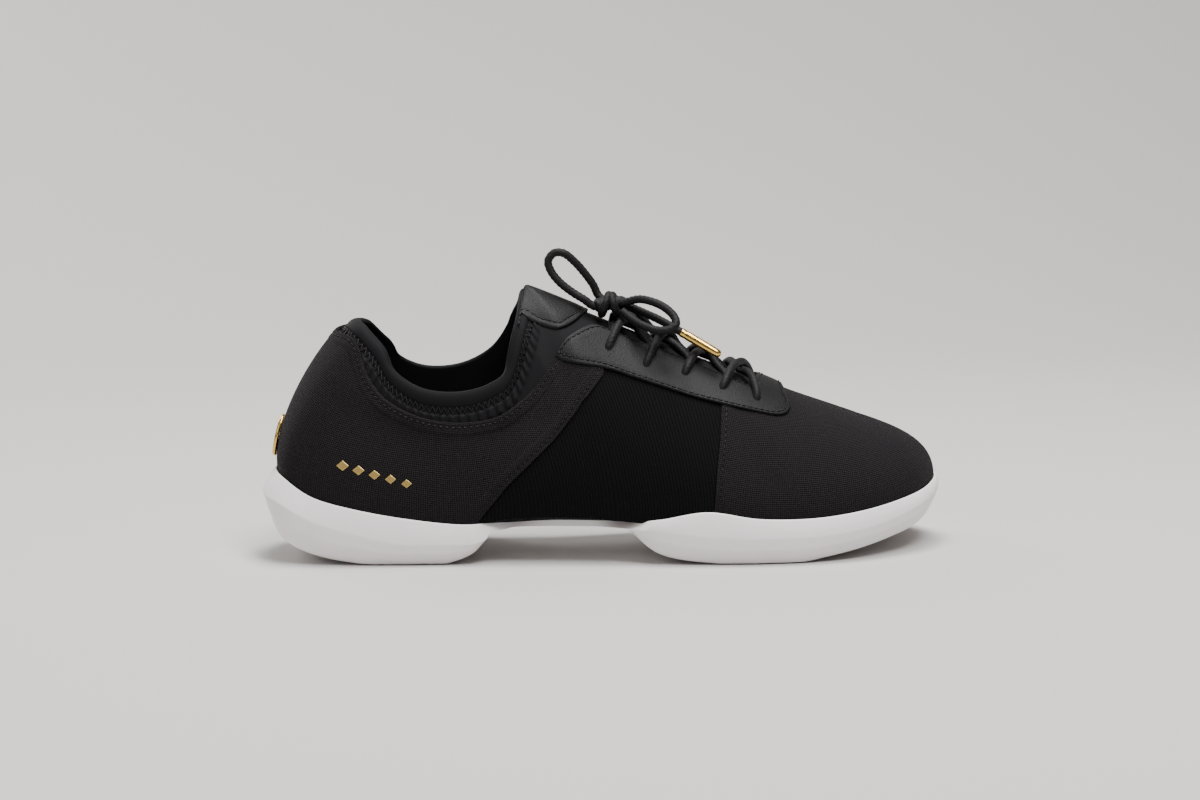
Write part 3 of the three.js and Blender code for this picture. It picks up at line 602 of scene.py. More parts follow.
def shell(outer, inner, around=False):
    """Closed sheet between an outer and an inner grid: points, faces and a slot number
    for each face, 0 outside and over the edges, 1 inside"""
    rows, columns = outer.shape[:2]
    count = rows * columns
    number = np.arange(count).reshape(rows, columns)
    edge = [strip_faces(number[-1], number[-1] + count), strip_faces(number[0] + count, number[0])]
    if around:
        for row, far in ((number[-1], count), (number[0], 0)):
            ends = np.array([row[-1], row[0]])
            edge.append(strip_faces(ends + count - far, ends + far))
    else:
        edge.append(strip_faces(number[:, 0], number[:, 0] + count))
        edge.append(strip_faces(number[:, -1] + count, number[:, -1]))
    outside = grid_faces(rows, columns, 0, around)
    inside = grid_faces(rows, columns, count, around, True)
    faces = np.concatenate([outside, *edge, inside])
    slots = np.zeros(len(faces), int)
    slots[-len(inside):] = 1
    return np.concatenate([outer.reshape(-1, 3), inner.reshape(-1, 3)]), faces, slots


def weld(piece, distance=0.02):
    """Joins points that lie within distance, in millimetres, and turns faces outwards"""
    form = bmesh.new()
    form.from_mesh(piece.data)
    bmesh.ops.remove_doubles(form, verts=form.verts, dist=distance * MM)
    bmesh.ops.dissolve_degenerate(form, edges=form.edges, dist=distance * 0.2 * MM)
    bmesh.ops.recalc_face_normals(form, faces=form.faces)
    form.to_mesh(piece.data)
    form.free()
    return piece


def finish_piece(piece, slot_name, *nodes):
    if nodes:
        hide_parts(*nodes)
    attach(piece, "root")
    return piece


def apply_modifiers(piece):
    """Turns a piece with modifiers into a plain mesh"""
    depsgraph = bpy.context.evaluated_depsgraph_get()
    mesh = bpy.data.meshes.new_from_object(piece.evaluated_get(depsgraph))
    old = piece.data
    piece.modifiers.clear()
    piece.data = mesh
    mesh.name = piece.name
    bpy.data.meshes.remove(old)
    return piece


def grid_normals(points):
    """Outward normals of a grid of points whose rows run up and columns run round"""
    up = np.gradient(points, axis=0)
    across = np.gradient(points, axis=1)
    return unit(np.cross(across, up))


def length_up(points):
    """Length from the lowest row of a grid, for every point"""
    steps = np.linalg.norm(np.diff(points, axis=0), axis=-1)
    return np.concatenate([np.zeros((1, points.shape[1])), np.cumsum(steps, axis=0)])


def length_across(points):
    return length_up(points.transpose(1, 0, 2)).T


def dense_ends(count, ends, span, low=True, high=True):
    """Shares from 0 to 1 with close rows at its ends; ends are lengths from an edge"""
    low_rows = np.array(ends) / span if low else np.array([0.0])
    high_rows = 1 - np.array(ends)[::-1] / span if high else np.array([1.0])
    middle = np.linspace(low_rows[-1], high_rows[0], count + 2)[1:-1]
    return np.concatenate([low_rows, middle, high_rows])


# Materials

def add(tree, kind, inputs=None, **settings):
    """Adds a node with its settings; inputs are values or the sockets that feed them"""
    node = tree.nodes.new(kind)
    for name, value in settings.items():
        setattr(node, name, value)
    for name, value in (inputs or {}).items():
        if isinstance(value, bpy.types.NodeSocket):
            tree.links.new(value, node.inputs[name])
        else:
            node.inputs[name].default_value = value
    return node


def maths(tree, operation, *values):
    return add(tree, "ShaderNodeMath", dict(enumerate(values)), operation=operation).outputs[0]


def blank_material(name, **sockets):
    material = bpy.data.materials.new(name)
    material.use_nodes = True
    tree = material.node_tree
    shader = tree.nodes["Principled BSDF"]
    for socket, value in sockets.items():
        shader.inputs[socket.replace("_", " ")].default_value = value
    return material, tree, shader


def noise(tree, coords, spacing, detail=2.0, roughness=0.5):
    """Noise whose grains lie about spacing millimetres apart"""
    inputs = {"Vector": coords, "Scale": 1 / (spacing * MM), "Detail": detail, "Roughness": roughness}
    return add(tree, "ShaderNodeTexNoise", inputs).outputs["Fac"]


def object_coords(tree):
    return add(tree, "ShaderNodeTexCoord").outputs["Object"]


def two_tones(tree, share, first, second):
    tones = add(tree, "ShaderNodeMix", {"Factor": share}, data_type="RGBA")
    tones.inputs[6].default_value = colour(first) if isinstance(first, str) else first
    tones.inputs[7].default_value = colour(second) if isinstance(second, str) else second
    return tones.outputs[2]


def bump(tree, shader, height, depth, strength=1.0):
    """Bump whose height of 1 stands depth millimetres up"""
    node = add(tree, "ShaderNodeBump", {"Height": height, "Distance": depth * MM, "Strength": strength})
    tree.links.new(node.outputs["Normal"], shader.inputs["Normal"])


def weave(tree, pitch, second_pitch=None):
    """Height of a plain weave on the cloth's own flat coordinates, in millimetres"""
    flat = add(tree, "ShaderNodeSeparateXYZ", {0: add(tree, "ShaderNodeUVMap", uv_map="cloth").outputs[0]})
    waves = []
    for socket, width in ((0, pitch), (1, second_pitch or pitch)):
        turned = maths(tree, "MULTIPLY", flat.outputs[socket], math.pi / width)
        waves.append(maths(tree, "SINE", turned))
    over = maths(tree, "GREATER_THAN", maths(tree, "MULTIPLY", *waves), 0.0)
    across, along = (maths(tree, "ABSOLUTE", wave) for wave in waves)
    warp = maths(tree, "MULTIPLY", across, maths(tree, "MULTIPLY_ADD", along, 0.5, 0.5))
    weft = maths(tree, "MULTIPLY", along, maths(tree, "MULTIPLY_ADD", across, 0.5, 0.5))
    chosen = add(tree, "ShaderNodeMix", {"Factor": over})
    tree.links.new(warp, chosen.inputs[2])
    tree.links.new(weft, chosen.inputs[3])
    return chosen.outputs[0]


def cotton_canvas():
    """Plain-woven cotton duck: matt, with a visible grid of threads and painted shade in the darker gaps
    between them
    """
    material, tree, shader = blank_material(
        "cotton_canvas", Roughness=0.86, Specular_IOR_Level=0.12, Sheen_Weight=0.015, Sheen_Roughness=0.6)
    threads = weave(tree, size("canvas_thread"))
    coords = object_coords(tree)
    slub = noise(tree, coords, 1.6, 3.0, 0.7)
    # Colour: painted shade, darker in the gaps between threads than on their tops, plus a random slub mottle
    lit = maths(tree, "MULTIPLY_ADD", slub, 0.7, maths(tree, "MULTIPLY_ADD", threads, 1.3, -0.65))
    tree.links.new(two_tones(tree, lit, "canvas_shade", "canvas"), shader.inputs["Base Color"])
    bump(tree, shader, maths(tree, "MULTIPLY_ADD", slub, 0.3, threads), 0.34)
    return material


def elastic_gore():
    """Covered-rubber elastic: matt, with close upright ribs and painted shade in the hollows between them"""
    material, tree, shader = blank_material(
        "elastic_gore", Roughness=0.8, Specular_IOR_Level=0.06, Sheen_Weight=0.005)
    flat = add(tree, "ShaderNodeSeparateXYZ", {0: add(tree, "ShaderNodeUVMap", uv_map="cloth").outputs[0]})
    rib = maths(tree, "ABSOLUTE", maths(tree, "SINE", maths(
        tree, "MULTIPLY", flat.outputs[0], math.pi / size("gore_rib"))))
    pick = weave(tree, 0.75, 0.9)
    height = maths(tree, "MULTIPLY_ADD", pick, 0.45, rib)
    # Colour: painted shade, darker in the rib hollows and the gaps of the covering's weave than on the rib
    # tops
    lit = maths(tree, "MULTIPLY_ADD", height, 0.6, 0.1)
    tree.links.new(two_tones(tree, lit, "canvas_shade", "gore"), shader.inputs["Base Color"])
    bump(tree, shader, height, 0.2)
    return material


def jersey_neoprene():
    """Foam rubber faced with fine jersey: soft sheen, hardly any grain"""
    material, tree, shader = blank_material(
        "jersey_neoprene", Roughness=0.7, Specular_IOR_Level=0.1, Sheen_Weight=0.02, Sheen_Roughness=0.45)
    coords = object_coords(tree)
    nap = noise(tree, coords, 0.7, 3.0, 0.6)
    tree.links.new(two_tones(tree, nap, "neoprene", "puckers"), shader.inputs["Base Color"])
    bump(tree, shader, nap, 0.08)
    return material


def microfibre_leather():
    """Pressed microfibre: fine pebbled grain under a thin satin coat"""
    material, tree, shader = blank_material(
        "microfibre_leather", Specular_IOR_Level=0.16, Coat_Weight=0.03, Coat_Roughness=0.4)
    coords = object_coords(tree)
    pebble_pitch = 0.9 * MM
    cells = add(tree, "ShaderNodeTexVoronoi", {"Vector": coords, "Scale": 1 / pebble_pitch},
                feature="DISTANCE_TO_EDGE")
    pebbles = maths(tree, "MULTIPLY", cells.outputs["Distance"], 2.2)
    wear = noise(tree, coords, 14.0)
    tree.links.new(two_tones(tree, wear, "canvas_shade", "leather"), shader.inputs["Base Color"])
    rough = maths(tree, "MULTIPLY_ADD", wear, 0.18, 0.44)
    tree.links.new(rough, shader.inputs["Roughness"])
    bump(tree, shader, maths(tree, "MINIMUM", pebbles, 1.0), 0.09)
    return material


def moulded_foam():
    """Moulded EVA: white with a faint skin, slightly soft to the light"""
    material, tree, shader = blank_material(
        "moulded_eva_foam", Subsurface_Weight=0.12, Subsurface_Scale=3 * MM, Coat_Weight=0.05,
        Coat_Roughness=0.5)
    coords = object_coords(tree)
    skin_grain = noise(tree, coords, 0.8, 3.0)
    cloud = noise(tree, coords, 30.0)
    warm = colour("foam")
    greyer = tuple(c * 0.93 for c in warm[:3]) + (1.0,)
    tree.links.new(two_tones(tree, cloud, greyer, warm), shader.inputs["Base Color"])
    tree.links.new(maths(tree, "MULTIPLY_ADD", cloud, 0.15, 0.45), shader.inputs["Roughness"])
    bump(tree, shader, skin_grain, 0.05)
    return material


def knitted_lining():
    """Brushed polyester knit: matt and napped"""
    material, tree, shader = blank_material(
        "knitted_lining", Roughness=0.92, Specular_IOR_Level=0.2, Sheen_Weight=0.04)
    nap = noise(tree, object_coords(tree), 0.9, 3.0, 0.7)
    tree.links.new(two_tones(tree, nap, "canvas_shade", "lining"), shader.inputs["Base Color"])
    bump(tree, shader, nap, 0.15)
    return material


def insole_cloth():
    """Woven cover of the insole, with painted shade in the gaps between its threads"""
    material, tree, shader = blank_material(
        "insole_cloth", Roughness=0.9, Specular_IOR_Level=0.25, Sheen_Weight=0.05)
    threads = weave(tree, 1.1)
    # Colour: painted shade, darker in the gaps between threads than on their tops
    tree.links.new(two_tones(tree, threads, "canvas_shade", "insole"), shader.inputs["Base Color"])
    bump(tree, shader, threads, 0.15)
    return material


def braided_polyester():
    """Round braided polyester cord: plaits modelled, filaments as bump"""
    material, tree, shader = blank_material(
        "braided_polyester", Roughness=0.6, Specular_IOR_Level=0.2, Sheen_Weight=0.03, Sheen_Roughness=0.4)
    fibre = noise(tree, object_coords(tree), 0.5, 3.0, 0.7)
    tree.links.new(two_tones(tree, fibre, "canvas_shade", "lace"), shader.inputs["Base Color"])
    bump(tree, shader, fibre, 0.12)
    return material


def sewing_thread():
    """Bonded polyester thread: a slight shine along each stitch"""
    material, tree, shader = blank_material("sewing_thread", Roughness=0.55, Specular_IOR_Level=0.25)
    twist = noise(tree, object_coords(tree), 0.3)
    tree.links.new(two_tones(tree, twist, "canvas_shade", "thread"), shader.inputs["Base Color"])
    bump(tree, shader, twist, 0.05)
    return material


def gold_plate():
    """Gold-plated zinc casting: polished, with faint handling marks"""
    material, tree, shader = blank_material("gold_plated_zinc", Metallic=1.0)
    coords = object_coords(tree)
    marks = noise(tree, coords, 2.5, 4.0, 0.6)
    shader.inputs["Base Color"].default_value = colour("gold")
    tree.links.new(maths(tree, "MULTIPLY_ADD", marks, 0.18, 0.14), shader.inputs["Roughness"])
    bump(tree, shader, marks, 0.02)
    return material


def gold_print():
    """Metallic transfer print: duller gold that takes the canvas's grain"""
    material, tree, shader = blank_material("gold_transfer_print", Metallic=0.75, Roughness=0.42)
    grain = noise(tree, object_coords(tree), 0.85, 3.0)
    shader.inputs["Base Color"].default_value = colour("print")
    bump(tree, shader, grain, 0.12)
    return material


def pale_floor():
    """Matt studio paper"""
    material, tree, shader = blank_material("studio_paper", Roughness=0.85)
    shader.inputs["Base Color"].default_value = colour("floor")
    return material


finishes = {}


def finish(maker):
    if maker not in finishes:
        finishes[maker] = maker()
    return finishes[maker]


# Lace and stitches

def smooth_path(points, step):
    """Even points, step millimetres apart, on a smooth curve through the given ones"""
    points = np.asarray(points, float)
    gaps = np.linalg.norm(np.diff(points, axis=0), axis=1) ** 0.5
    t = np.concatenate([[0], np.cumsum(gaps)])
    slopes = np.diff(points, axis=0) / gaps[:, None]
    inner = (slopes[:-1] * gaps[1:, None] + slopes[1:] * gaps[:-1, None]) / (gaps[:-1] + gaps[1:])[:, None]
    tangents = np.concatenate([slopes[:1], inner, slopes[-1:]])
    dense = np.linspace(0, t[-1], len(points) * 40)
    i = np.clip(np.searchsorted(t, dense) - 1, 0, len(points) - 2)
    span = gaps[i][:, None]
    s = ((dense - t[i]) / gaps[i])[:, None]
    curve = ((2 * s ** 3 - 3 * s ** 2 + 1) * points[i] + (s ** 3 - 2 * s ** 2 + s) * span * tangents[i]
             + (3 * s ** 2 - 2 * s ** 3) * points[i + 1] + (s ** 3 - s ** 2) * span * tangents[i + 1])
    run = run_along(curve)
    even = np.linspace(0, run[-1], max(int(round(run[-1] / step)), 3) + 1)
    return np.stack([np.interp(even, run, curve[:, k]) for k in range(3)], -1)


def frames_along(path):
    """Tangents and two sideways directions that don't twist along a path"""
    tangents = unit(np.gradient(path, axis=0))
    side = np.cross(tangents[0], [0.0, 0.0, 1.0])
    if np.linalg.norm(side) < 0.1:
        side = np.cross(tangents[0], [0.0, 1.0, 0.0])
    sides = [unit(side)]
    for tangent in tangents[1:]:
        turned = sides[-1] - tangent * np.dot(sides[-1], tangent)
        sides.append(unit(turned))
    sides = np.array(sides)
    return tangents, sides, np.cross(tangents, sides)


def braid_height(turn, run):
    """Plaits of a round braid: two sets of strands that wind past each other"""
    plaits = 4
    wind = 2 * math.pi * run / (size("braid_pitch") * 2)
    right = plaits * turn + wind * 2
    left = plaits * turn - wind * 2
    over = np.sin(right / 2) * np.sin(left / 2) > 0
    return np.where(over, np.abs(np.cos(right / 2)), np.abs(np.cos(left / 2)))


def braided_tube(points, diameter, sides=20, step=0.45, end_taper=1.0):
    """Closed tube of round braid along smooth points: mesh points, faces and centres"""
    path = smooth_path(points, step)
    _, across, up = frames_along(path)
    run = np.arange(len(path)) * step
    turn = np.arange(sides) * 2 * math.pi / sides
    plait = braid_height(turn[None, :], run[:, None])
    radius = diameter / 2 * (0.84 + 0.16 * plait)
    ends = np.minimum(run, run[-1] - run)
    radius = radius * (1 - (1 - end_taper) * np.clip(1 - ends / 1.2, 0, 1) ** 2)[:, None]
    ring = across[:, None] * np.cos(turn)[None, :, None] + up[:, None] * np.sin(turn)[None, :, None]
    rings = path[:, None] + ring * radius[..., None]
    caps = np.stack([path[0], path[-1]])
    count = rings.shape[0] * sides
    sideways = grid_faces(len(path), sides, 0, True)
    number = np.arange(sides)
    first = np.stack([np.roll(number, -1), number, np.full(sides, count)], -1)
    last = (len(path) - 1) * sides
    final = np.stack([number + last, np.roll(number, -1) + last, np.full(sides, count + 1)], -1)
    faces = [tuple(f) for f in sideways] + [tuple(f) for f in first] + [tuple(f) for f in final]
    return np.concatenate([rings.reshape(-1, 3), caps]), faces, path


def join_parts(parts):
    """One list of points and one of faces from several"""
    points, faces, start = [], [], 0
    for part_points, part_faces in parts:
        points.append(part_points)
        faces.extend(tuple(int(i) + start for i in face) for face in part_faces)
        start += len(part_points)
    return np.concatenate(points), faces


def node_tree(name, inputs):
    tree = bpy.data.node_groups.new(name, "GeometryNodeTree")
    tree.interface.new_socket("Geometry", in_out="INPUT", socket_type="NodeSocketGeometry")
    for label, kind in inputs:
        tree.interface.new_socket(label, in_out="INPUT", socket_type=kind)
    tree.interface.new_socket("Geometry", in_out="OUTPUT", socket_type="NodeSocketGeometry")
    return tree, add(tree, "NodeGroupInput"), add(tree, "NodeGroupOutput")


def end_tree(tree, given, out, made):
    """Realizes and dyes what a tree has made, and hands it out"""
    real = add(tree, "GeometryNodeRealizeInstances", {"Geometry": made})
    dyed = add(tree, "GeometryNodeSetMaterial", {
        "Geometry": real.outputs["Geometry"], "Material": given.outputs["Material"]})
    tree.links.new(dyed.outputs["Geometry"], out.inputs["Geometry"])
    return tree


def stitch_tree():
    """Short rounded stitches laid end to end along a line"""
    tree, given, out = node_tree("stitch_row", (
        ("Pitch", "NodeSocketFloat"), ("Thread", "NodeSocketFloat"), ("Material", "NodeSocketMaterial")))
    curve = add(tree, "GeometryNodeMeshToCurve", {"Mesh": given.outputs["Geometry"]})
    even = add(tree, "GeometryNodeResampleCurve", {
        "Curve": curve.outputs["Curve"], "Length": given.outputs["Pitch"]}, mode="LENGTH")
    tangent = add(tree, "GeometryNodeInputTangent")
    turned = add(tree, "FunctionNodeAlignRotationToVector", {"Vector": tangent.outputs[0]}, axis="X")
    bead = add(tree, "GeometryNodeMeshUVSphere", {"Segments": 6, "Rings": 5, "Radius": 0.5})
    long = add(tree, "ShaderNodeMath", {0: given.outputs["Pitch"], 1: 0.86}, operation="MULTIPLY")
    scale = add(tree, "ShaderNodeCombineXYZ", {
        "X": long.outputs[0], "Y": given.outputs["Thread"], "Z": given.outputs["Thread"]})
    placed = add(tree, "GeometryNodeInstanceOnPoints", {
        "Points": even.outputs["Curve"], "Instance": bead.outputs["Mesh"],
        "Rotation": turned.outputs["Rotation"], "Scale": scale.outputs["Vector"]})
    return end_tree(tree, given, out, placed.outputs["Instances"])


def thread_tree():
    """A thread swept along a line"""
    tree, given, out = node_tree("thread_run", (
        ("Thread", "NodeSocketFloat"), ("Material", "NodeSocketMaterial")))
    curve = add(tree, "GeometryNodeMeshToCurve", {"Mesh": given.outputs["Geometry"]})
    half = add(tree, "ShaderNodeMath", {0: given.outputs["Thread"], 1: 0.5}, operation="MULTIPLY")
    section = add(tree, "GeometryNodeCurvePrimitiveCircle", {"Resolution": 5, "Radius": half.outputs[0]})
    swept = add(tree, "GeometryNodeCurveToMesh", {
        "Curve": curve.outputs["Curve"], "Profile Curve": section.outputs["Curve"], "Fill Caps": True})
    return end_tree(tree, given, out, swept.outputs["Mesh"])


def sewn_piece(name, lines, tree, slot_name, **inputs):
    """Plain mesh of what a node tree lays along the given lines of points"""
    mesh = bpy.data.meshes.new(name)
    points, edges = [], []
    for line in lines:
        start = len(points)
        points.extend(to_frame(line).tolist())
        edges.extend((start + i, start + i + 1) for i in range(len(line) - 1))
    mesh.from_pydata(points, edges, [])
    piece = put(name, mesh)
    modifier = piece.modifiers.new("sewing", "NODES")
    modifier.node_group = tree
    for item in tree.interface.items_tree:
        if item.item_type == "SOCKET" and item.in_out == "INPUT" and item.name in inputs:
            modifier[item.identifier] = inputs[item.name]
    apply_modifiers(piece)
    smooth_shade(piece.data)
    return finish_piece(piece, slot_name)


# Sole

def make_sole():
    columns = 640
    place = np.linspace(0, ring_rows, columns + 1)[:-1]
    side_rows = (
        (9.5, 0.0), (7.6, 0.004), (6.0, 0.014), (5.0, 0.035), (4.2, 0.07), (3.5, 0.14), (2.7, 0.27),
        (1.8, 0.43), (1.25, 0.53), (1.05, 0.57), (0.9, 0.62), (0.5, 0.78), (0.16, 0.93), (0.05, 0.985))
    rings = [ledge_ring(place, inset, share) for inset, share in side_rows]
    near = near_of(place)
    outward = outward_of(base_x, base_y, place)
    lip = lip_at(near)
    base = stack3(base_x(place), base_y(place), 0.0)

    def lip_ring(cup_reach, cup_drop, bridge_reach, bridge_drop):
        point = base + outward * mix(bridge_reach, cup_reach, lip)[:, None]
        bridge = bed_curve(point[:, 0]) + clearance - bridge_drop
        point[:, 2] = mix(bridge, base_z(place) - cup_drop, lip)
        return point

    ridge = ledge_ring(place, 0.0, 1.0)
    lip_edge = lip_ring(clearance + 0.8, 0.12, -arch_tuck - 1, 0.0)
    for share in (0.02, 0.06, 0.3, 0.55, 0.8, 0.94):
        bevel = mix(ridge, lip_edge, share)
        swell = 0.35 * math.sin(math.pi * share)
        rings.append(bevel + outward * swell * lip[:, None])
    rings.append(lip_edge)
    rings.append(lip_ring(clearance + 0.55, 0.0, -arch_tuck - 1.1, 0.0))
    rings.append(lip_ring(clearance + 0.15, 0.0, -arch_tuck - 1.3, 0.1))
    rings.append(lip_ring(clearance - 0.05, 0.25, -arch_tuck - 1.4, 0.2))
    wall = base + outward * mix(-arch_tuck - 1.6, clearance - cup_tuck, lip)[:, None]
    wall[:, 2] = bed_curve(wall[:, 0])
    rings.append(wall)
    grid = np.stack(rings)
    faces = [grid_faces(len(rings), columns, 0, True)]
    half = columns // 2
    across = 72

    # Footbed across the shoe
    left, right = halves_of(np.arange(columns) + (len(rings) - 1) * columns)
    faces.append(strip_faces(left, right)[1:-1])
    faces.append(np.array([[left[1], right[1], left[0], left[0]],
                           [left[half - 1], left[half], left[half], right[half - 1]]]))

    # Underside with its tread, a grid across the shoe
    outer_half, inner_half = halves_of(grid[0])
    share = np.linspace(0, 1, across + 1)[None, :, None]
    under = mix(outer_half[:, None], inner_half[:, None], share)
    under[..., 2] += tread_relief(under, share[..., 0])
    body = np.concatenate([grid.reshape(-1, 3), under.reshape(-1, 3)])
    faces.append(grid_faces(half + 1, across + 1, len(rings) * columns))
    piece = make_object("sole_foam", body, plain_faces(faces), [finish(moulded_foam)])
    weld(piece, 0.01)
    return finish_piece(piece, "sole_foam", "sole")


def tread_relief(points, share):
    """How far the underside's grooves rise: rings round a turning pad under the ball and
    the heel, inside a plain border"""
    relief = np.zeros(points.shape[:2])
    edge = np.minimum(share, 1 - share) * np.linalg.norm(points[:, 0] - points[:, -1], axis=-1)[:, None]
    for along, across, radius in ((0.725, -0.5, 34.0), (0.20, 0.0, 22.0)):
        gap = np.hypot(points[..., 0] - along_x(along), points[..., 1] - across)
        groove = np.clip(np.cos(gap * 2 * math.pi / 5.2) * 2.2 - 1.2, 0, 1)
        inside = 1 - smooth_step(gap, radius, radius + 1)
        relief += groove * inside * np.clip((edge - 3) / 1.2, 0, 1)
        moat = np.clip(1 - np.abs(gap - radius - 3.5) / 1.6, 0, 1)
        relief += 1.3 * moat * np.clip((edge - 3) / 1.2, 0, 1)
    return np.minimum(relief, 1.3) * 0.9


# Upper

def rear_seam_share(place):
    """Share of the rear gore seam on each rib, 0 behind the seam"""
    near = near_of(place)
    outer, inner = (np.interp(near, near_of(path[:, 0]), path[:, 1])
                    for path in (seam_path("rear", -1), seam_path("rear", 1)))
    return np.where(np.mod(place, ring_rows) <= last_row, outer, inner)


def front_seam_near(side, share):
    path = seam_path("front", side)
    return np.interp(share, path[:, 1], near_of(path[:, 0]))


def quarter_grid(columns, upwards):
    """Ring places and shares of the canvas behind the gore: on each rib from the feather
    line or the seam to the canvas's top edge"""
    place = np.linspace(seam_path("rear", 1)[-1, 0] - ring_rows, seam_path("rear", -1)[-1, 0], columns)
    low = rear_seam_share(place)
    high = np.maximum(canvas_top_share(place), low)
    up = upwards[:, None]
    share = np.where(up < 0, np.where(low > 0, low, up), mix(low, high, up))
    return np.broadcast_to(place, share.shape), share


def vamp_grid(across, upwards):
    """Ring places and shares of the canvas in front of the gore"""
    share = np.broadcast_to(upwards[:, None], (len(upwards), len(across)))
    for _ in range(8):
        place = mix(front_seam_near(-1, share), ring_rows - front_seam_near(1, share), across)
        share = np.where(upwards[:, None] < 0, upwards[:, None], upwards[:, None] * canvas_top_share(place))
    return place, share


def gore_grid(side, across, upwards):
    """Ring places and shares of a gore: on each rib from the feather line to the rear seam
    or the canvas's top edge"""
    path = seam_path("rear", side)
    start, end = near_of(path[0, 0]), near_of(path[-1, 0])
    share = np.broadcast_to(upwards[:, None], (len(upwards), len(across)))
    for _ in range(8):
        near = mix(start, front_seam_near(side, share), across)
        place = place_on(side, near)
        top = np.where(near < end, rear_seam_share(place), canvas_top_share(place))
        share = np.where(upwards[:, None] < 0, upwards[:, None], upwards[:, None] * top)
    return place, share


def gap_to(points, line):
    """Distance from each point of a grid to the nearest point of a line"""
    return np.stack([np.linalg.norm(row[:, None] - line[None], axis=-1).min(1) for row in points])


# Soft troughs and ridges of the worn-in cloth: side, start and end as shares of the
# shoe's length and the tongue's height, half width and depth in millimetres
crease_columns = ("side", "x0", "z0", "x1", "z1", "width", "depth")
crease_rows = (
    (-1, 0.700, 0.520, 0.735, 0.300, 5.0, -0.9),
    (-1, 0.735, 0.500, 0.765, 0.330, 4.0, 0.5),
    (-1, 0.140, 0.560, 0.260, 0.430, 9.0, -0.9),
    (-1, 0.120, 0.700, 0.200, 0.520, 6.0, 0.5),
    (-1, 0.330, 0.480, 0.440, 0.560, 6.0, -0.7),
    (1, 0.700, 0.520, 0.730, 0.300, 5.0, -0.9),
    (1, 0.160, 0.560, 0.270, 0.430, 9.0, -0.9),
    (1, 0.330, 0.500, 0.440, 0.600, 6.0, -0.7),
)


def crease_relief(points):
    relief = np.zeros(points.shape[:-1])
    for row in crease_rows:
        crease = dict(zip(crease_columns, row))
        start = np.array([along_x(crease["x0"]), crease["z0"] * tongue_height])
        reach = np.array([along_x(crease["x1"]), crease["z1"] * tongue_height]) - start
        gap = points[..., [0, 2]] - start
        share = np.clip((gap @ reach) / (reach @ reach), -0.3, 1.3)
        away = np.linalg.norm(gap - share[..., None] * reach, axis=-1)
        fade = np.clip(1.3 - np.abs(share - 0.5) * 1.6, 0, 1)
        on_side = smooth_step(points[..., 1] * crease["side"], 2, 12)
        relief += crease["depth"] * np.exp(-(away / crease["width"]) ** 2) * fade * on_side
    return relief


def hem_relief(gap):
    """A folded edge that stands up, with a groove at its stitch line and a round brink"""
    fold = size("hem_height") * (1 - smooth_step(gap, size("hem_width") - 0.8, size("hem_width")))
    groove = 0.22 * np.exp(-((gap - size("stitch_margin")) / 0.55) ** 2)
    brink = 0.55 * (1 - np.sqrt(np.clip(1 - (1 - np.clip(gap / 0.6, 0, 1)) ** 2, 0, 1)))
    return fold - groove - brink


edge_rows = (0, 0.15, 0.35, 0.7, 1.4, 2.0, 2.6, 4.4, 5.6)
tuck_rows = (-1, -0.5, -0.12)


def canvas_panel(name, place, share, seams_beside):
    flat = skin(place, share)
    up = length_up(flat)
    rimmed = (near_of(place[-1]) < 9) & (canvas_top_share(place[-1]) < 0.995)
    gap = np.where(rimmed, up[-1] - up, 99.0)
    for key in seams_beside:
        path = seam_path(*key)
        gap = np.minimum(gap, gap_to(flat, skin(path[:, 0], path[:, 1])))
    relief = hem_relief(gap) + crease_relief(flat) * smooth_step(gap, 1.0, 6.0)
    relief = relief * np.clip(share * 12, 0, 1)
    outer = skin(place, share, relief)
    inner = skin(place, share, np.minimum(relief, 0) * 0.8 - upper_wall)
    points, faces, slots = shell(outer, inner)
    uv = np.tile(cloth_uv(place, share).reshape(-1, 2), (2, 1))
    piece = make_object(name, points, faces, [finish(cotton_canvas), finish(knitted_lining)], slots, uv)
    weld(piece)
    return finish_piece(piece, "canvas", "upper")


def make_canvas():
    rows = np.concatenate([tuck_rows, dense_ends(76, edge_rows, 62.0)])
    canvas_panel("canvas_quarter", *quarter_grid(420, rows), (("rear", 1), ("rear", -1)))
    across = dense_ends(330, edge_rows, 230.0)
    rows = np.concatenate([tuck_rows, dense_ends(84, edge_rows, 62.0, low=False)])
    canvas_panel("canvas_vamp", *vamp_grid(across, rows), (("front", -1), ("front", 1)))


def make_gore(name, side):
    upwards = np.concatenate([tuck_rows, np.linspace(0, 1, 90)])
    place, share = gore_grid(side, np.linspace(0, 1, 150), upwards)
    flat = skin(place, share)
    paths = (seam_path("rear", side), seam_path("front", side))
    gap = np.minimum(*(gap_to(flat, skin(path[:, 0], path[:, 1])) for path in paths))
    swell = 0.35 * smooth_step(gap, 0, 9.0) + crease_relief(flat)
    relief = (swell - gore_drop) * np.clip(share * 12, 0, 1) - 0.15
    points, faces, slots = shell(skin(place, share, relief), skin(place, share, -upper_wall))
    uv = np.tile(cloth_uv(place, share).reshape(-1, 2), (2, 1))
    piece = make_object(name, points, faces, [finish(elastic_gore), finish(knitted_lining)], slots, uv)
    weld(piece)
    return finish_piece(piece, "canvas", "upper")


# Collar and tongue

collar_offset = -(upper_wall + clearance)


def collar_grid():
    """Places, shares, outer points and lengths from the rim, for the sock and its zigzag"""
    limit = fine_places[np.argmax((sock_shares > 0.9985) & (fine_places > tongue_top_row))]
    columns = 700
    place = np.linspace(-limit, limit, columns + 1)
    rows = dense_ends(56, (0, 0.4, 0.9, 1.6, 2.4, 3.3, 4.3, 5.2), 60.0, low=False)[:, None]
    low = sock_low_share(place)
    share = low + (1 - low) * rows
    place = np.broadcast_to(place, share.shape)
    flat = skin(place, share, collar_offset)
    up = length_up(flat)
    return place, share, flat, up[-1] - up


# Row of the collar's grid on which lengths round the ankle are taken
run_row = -12


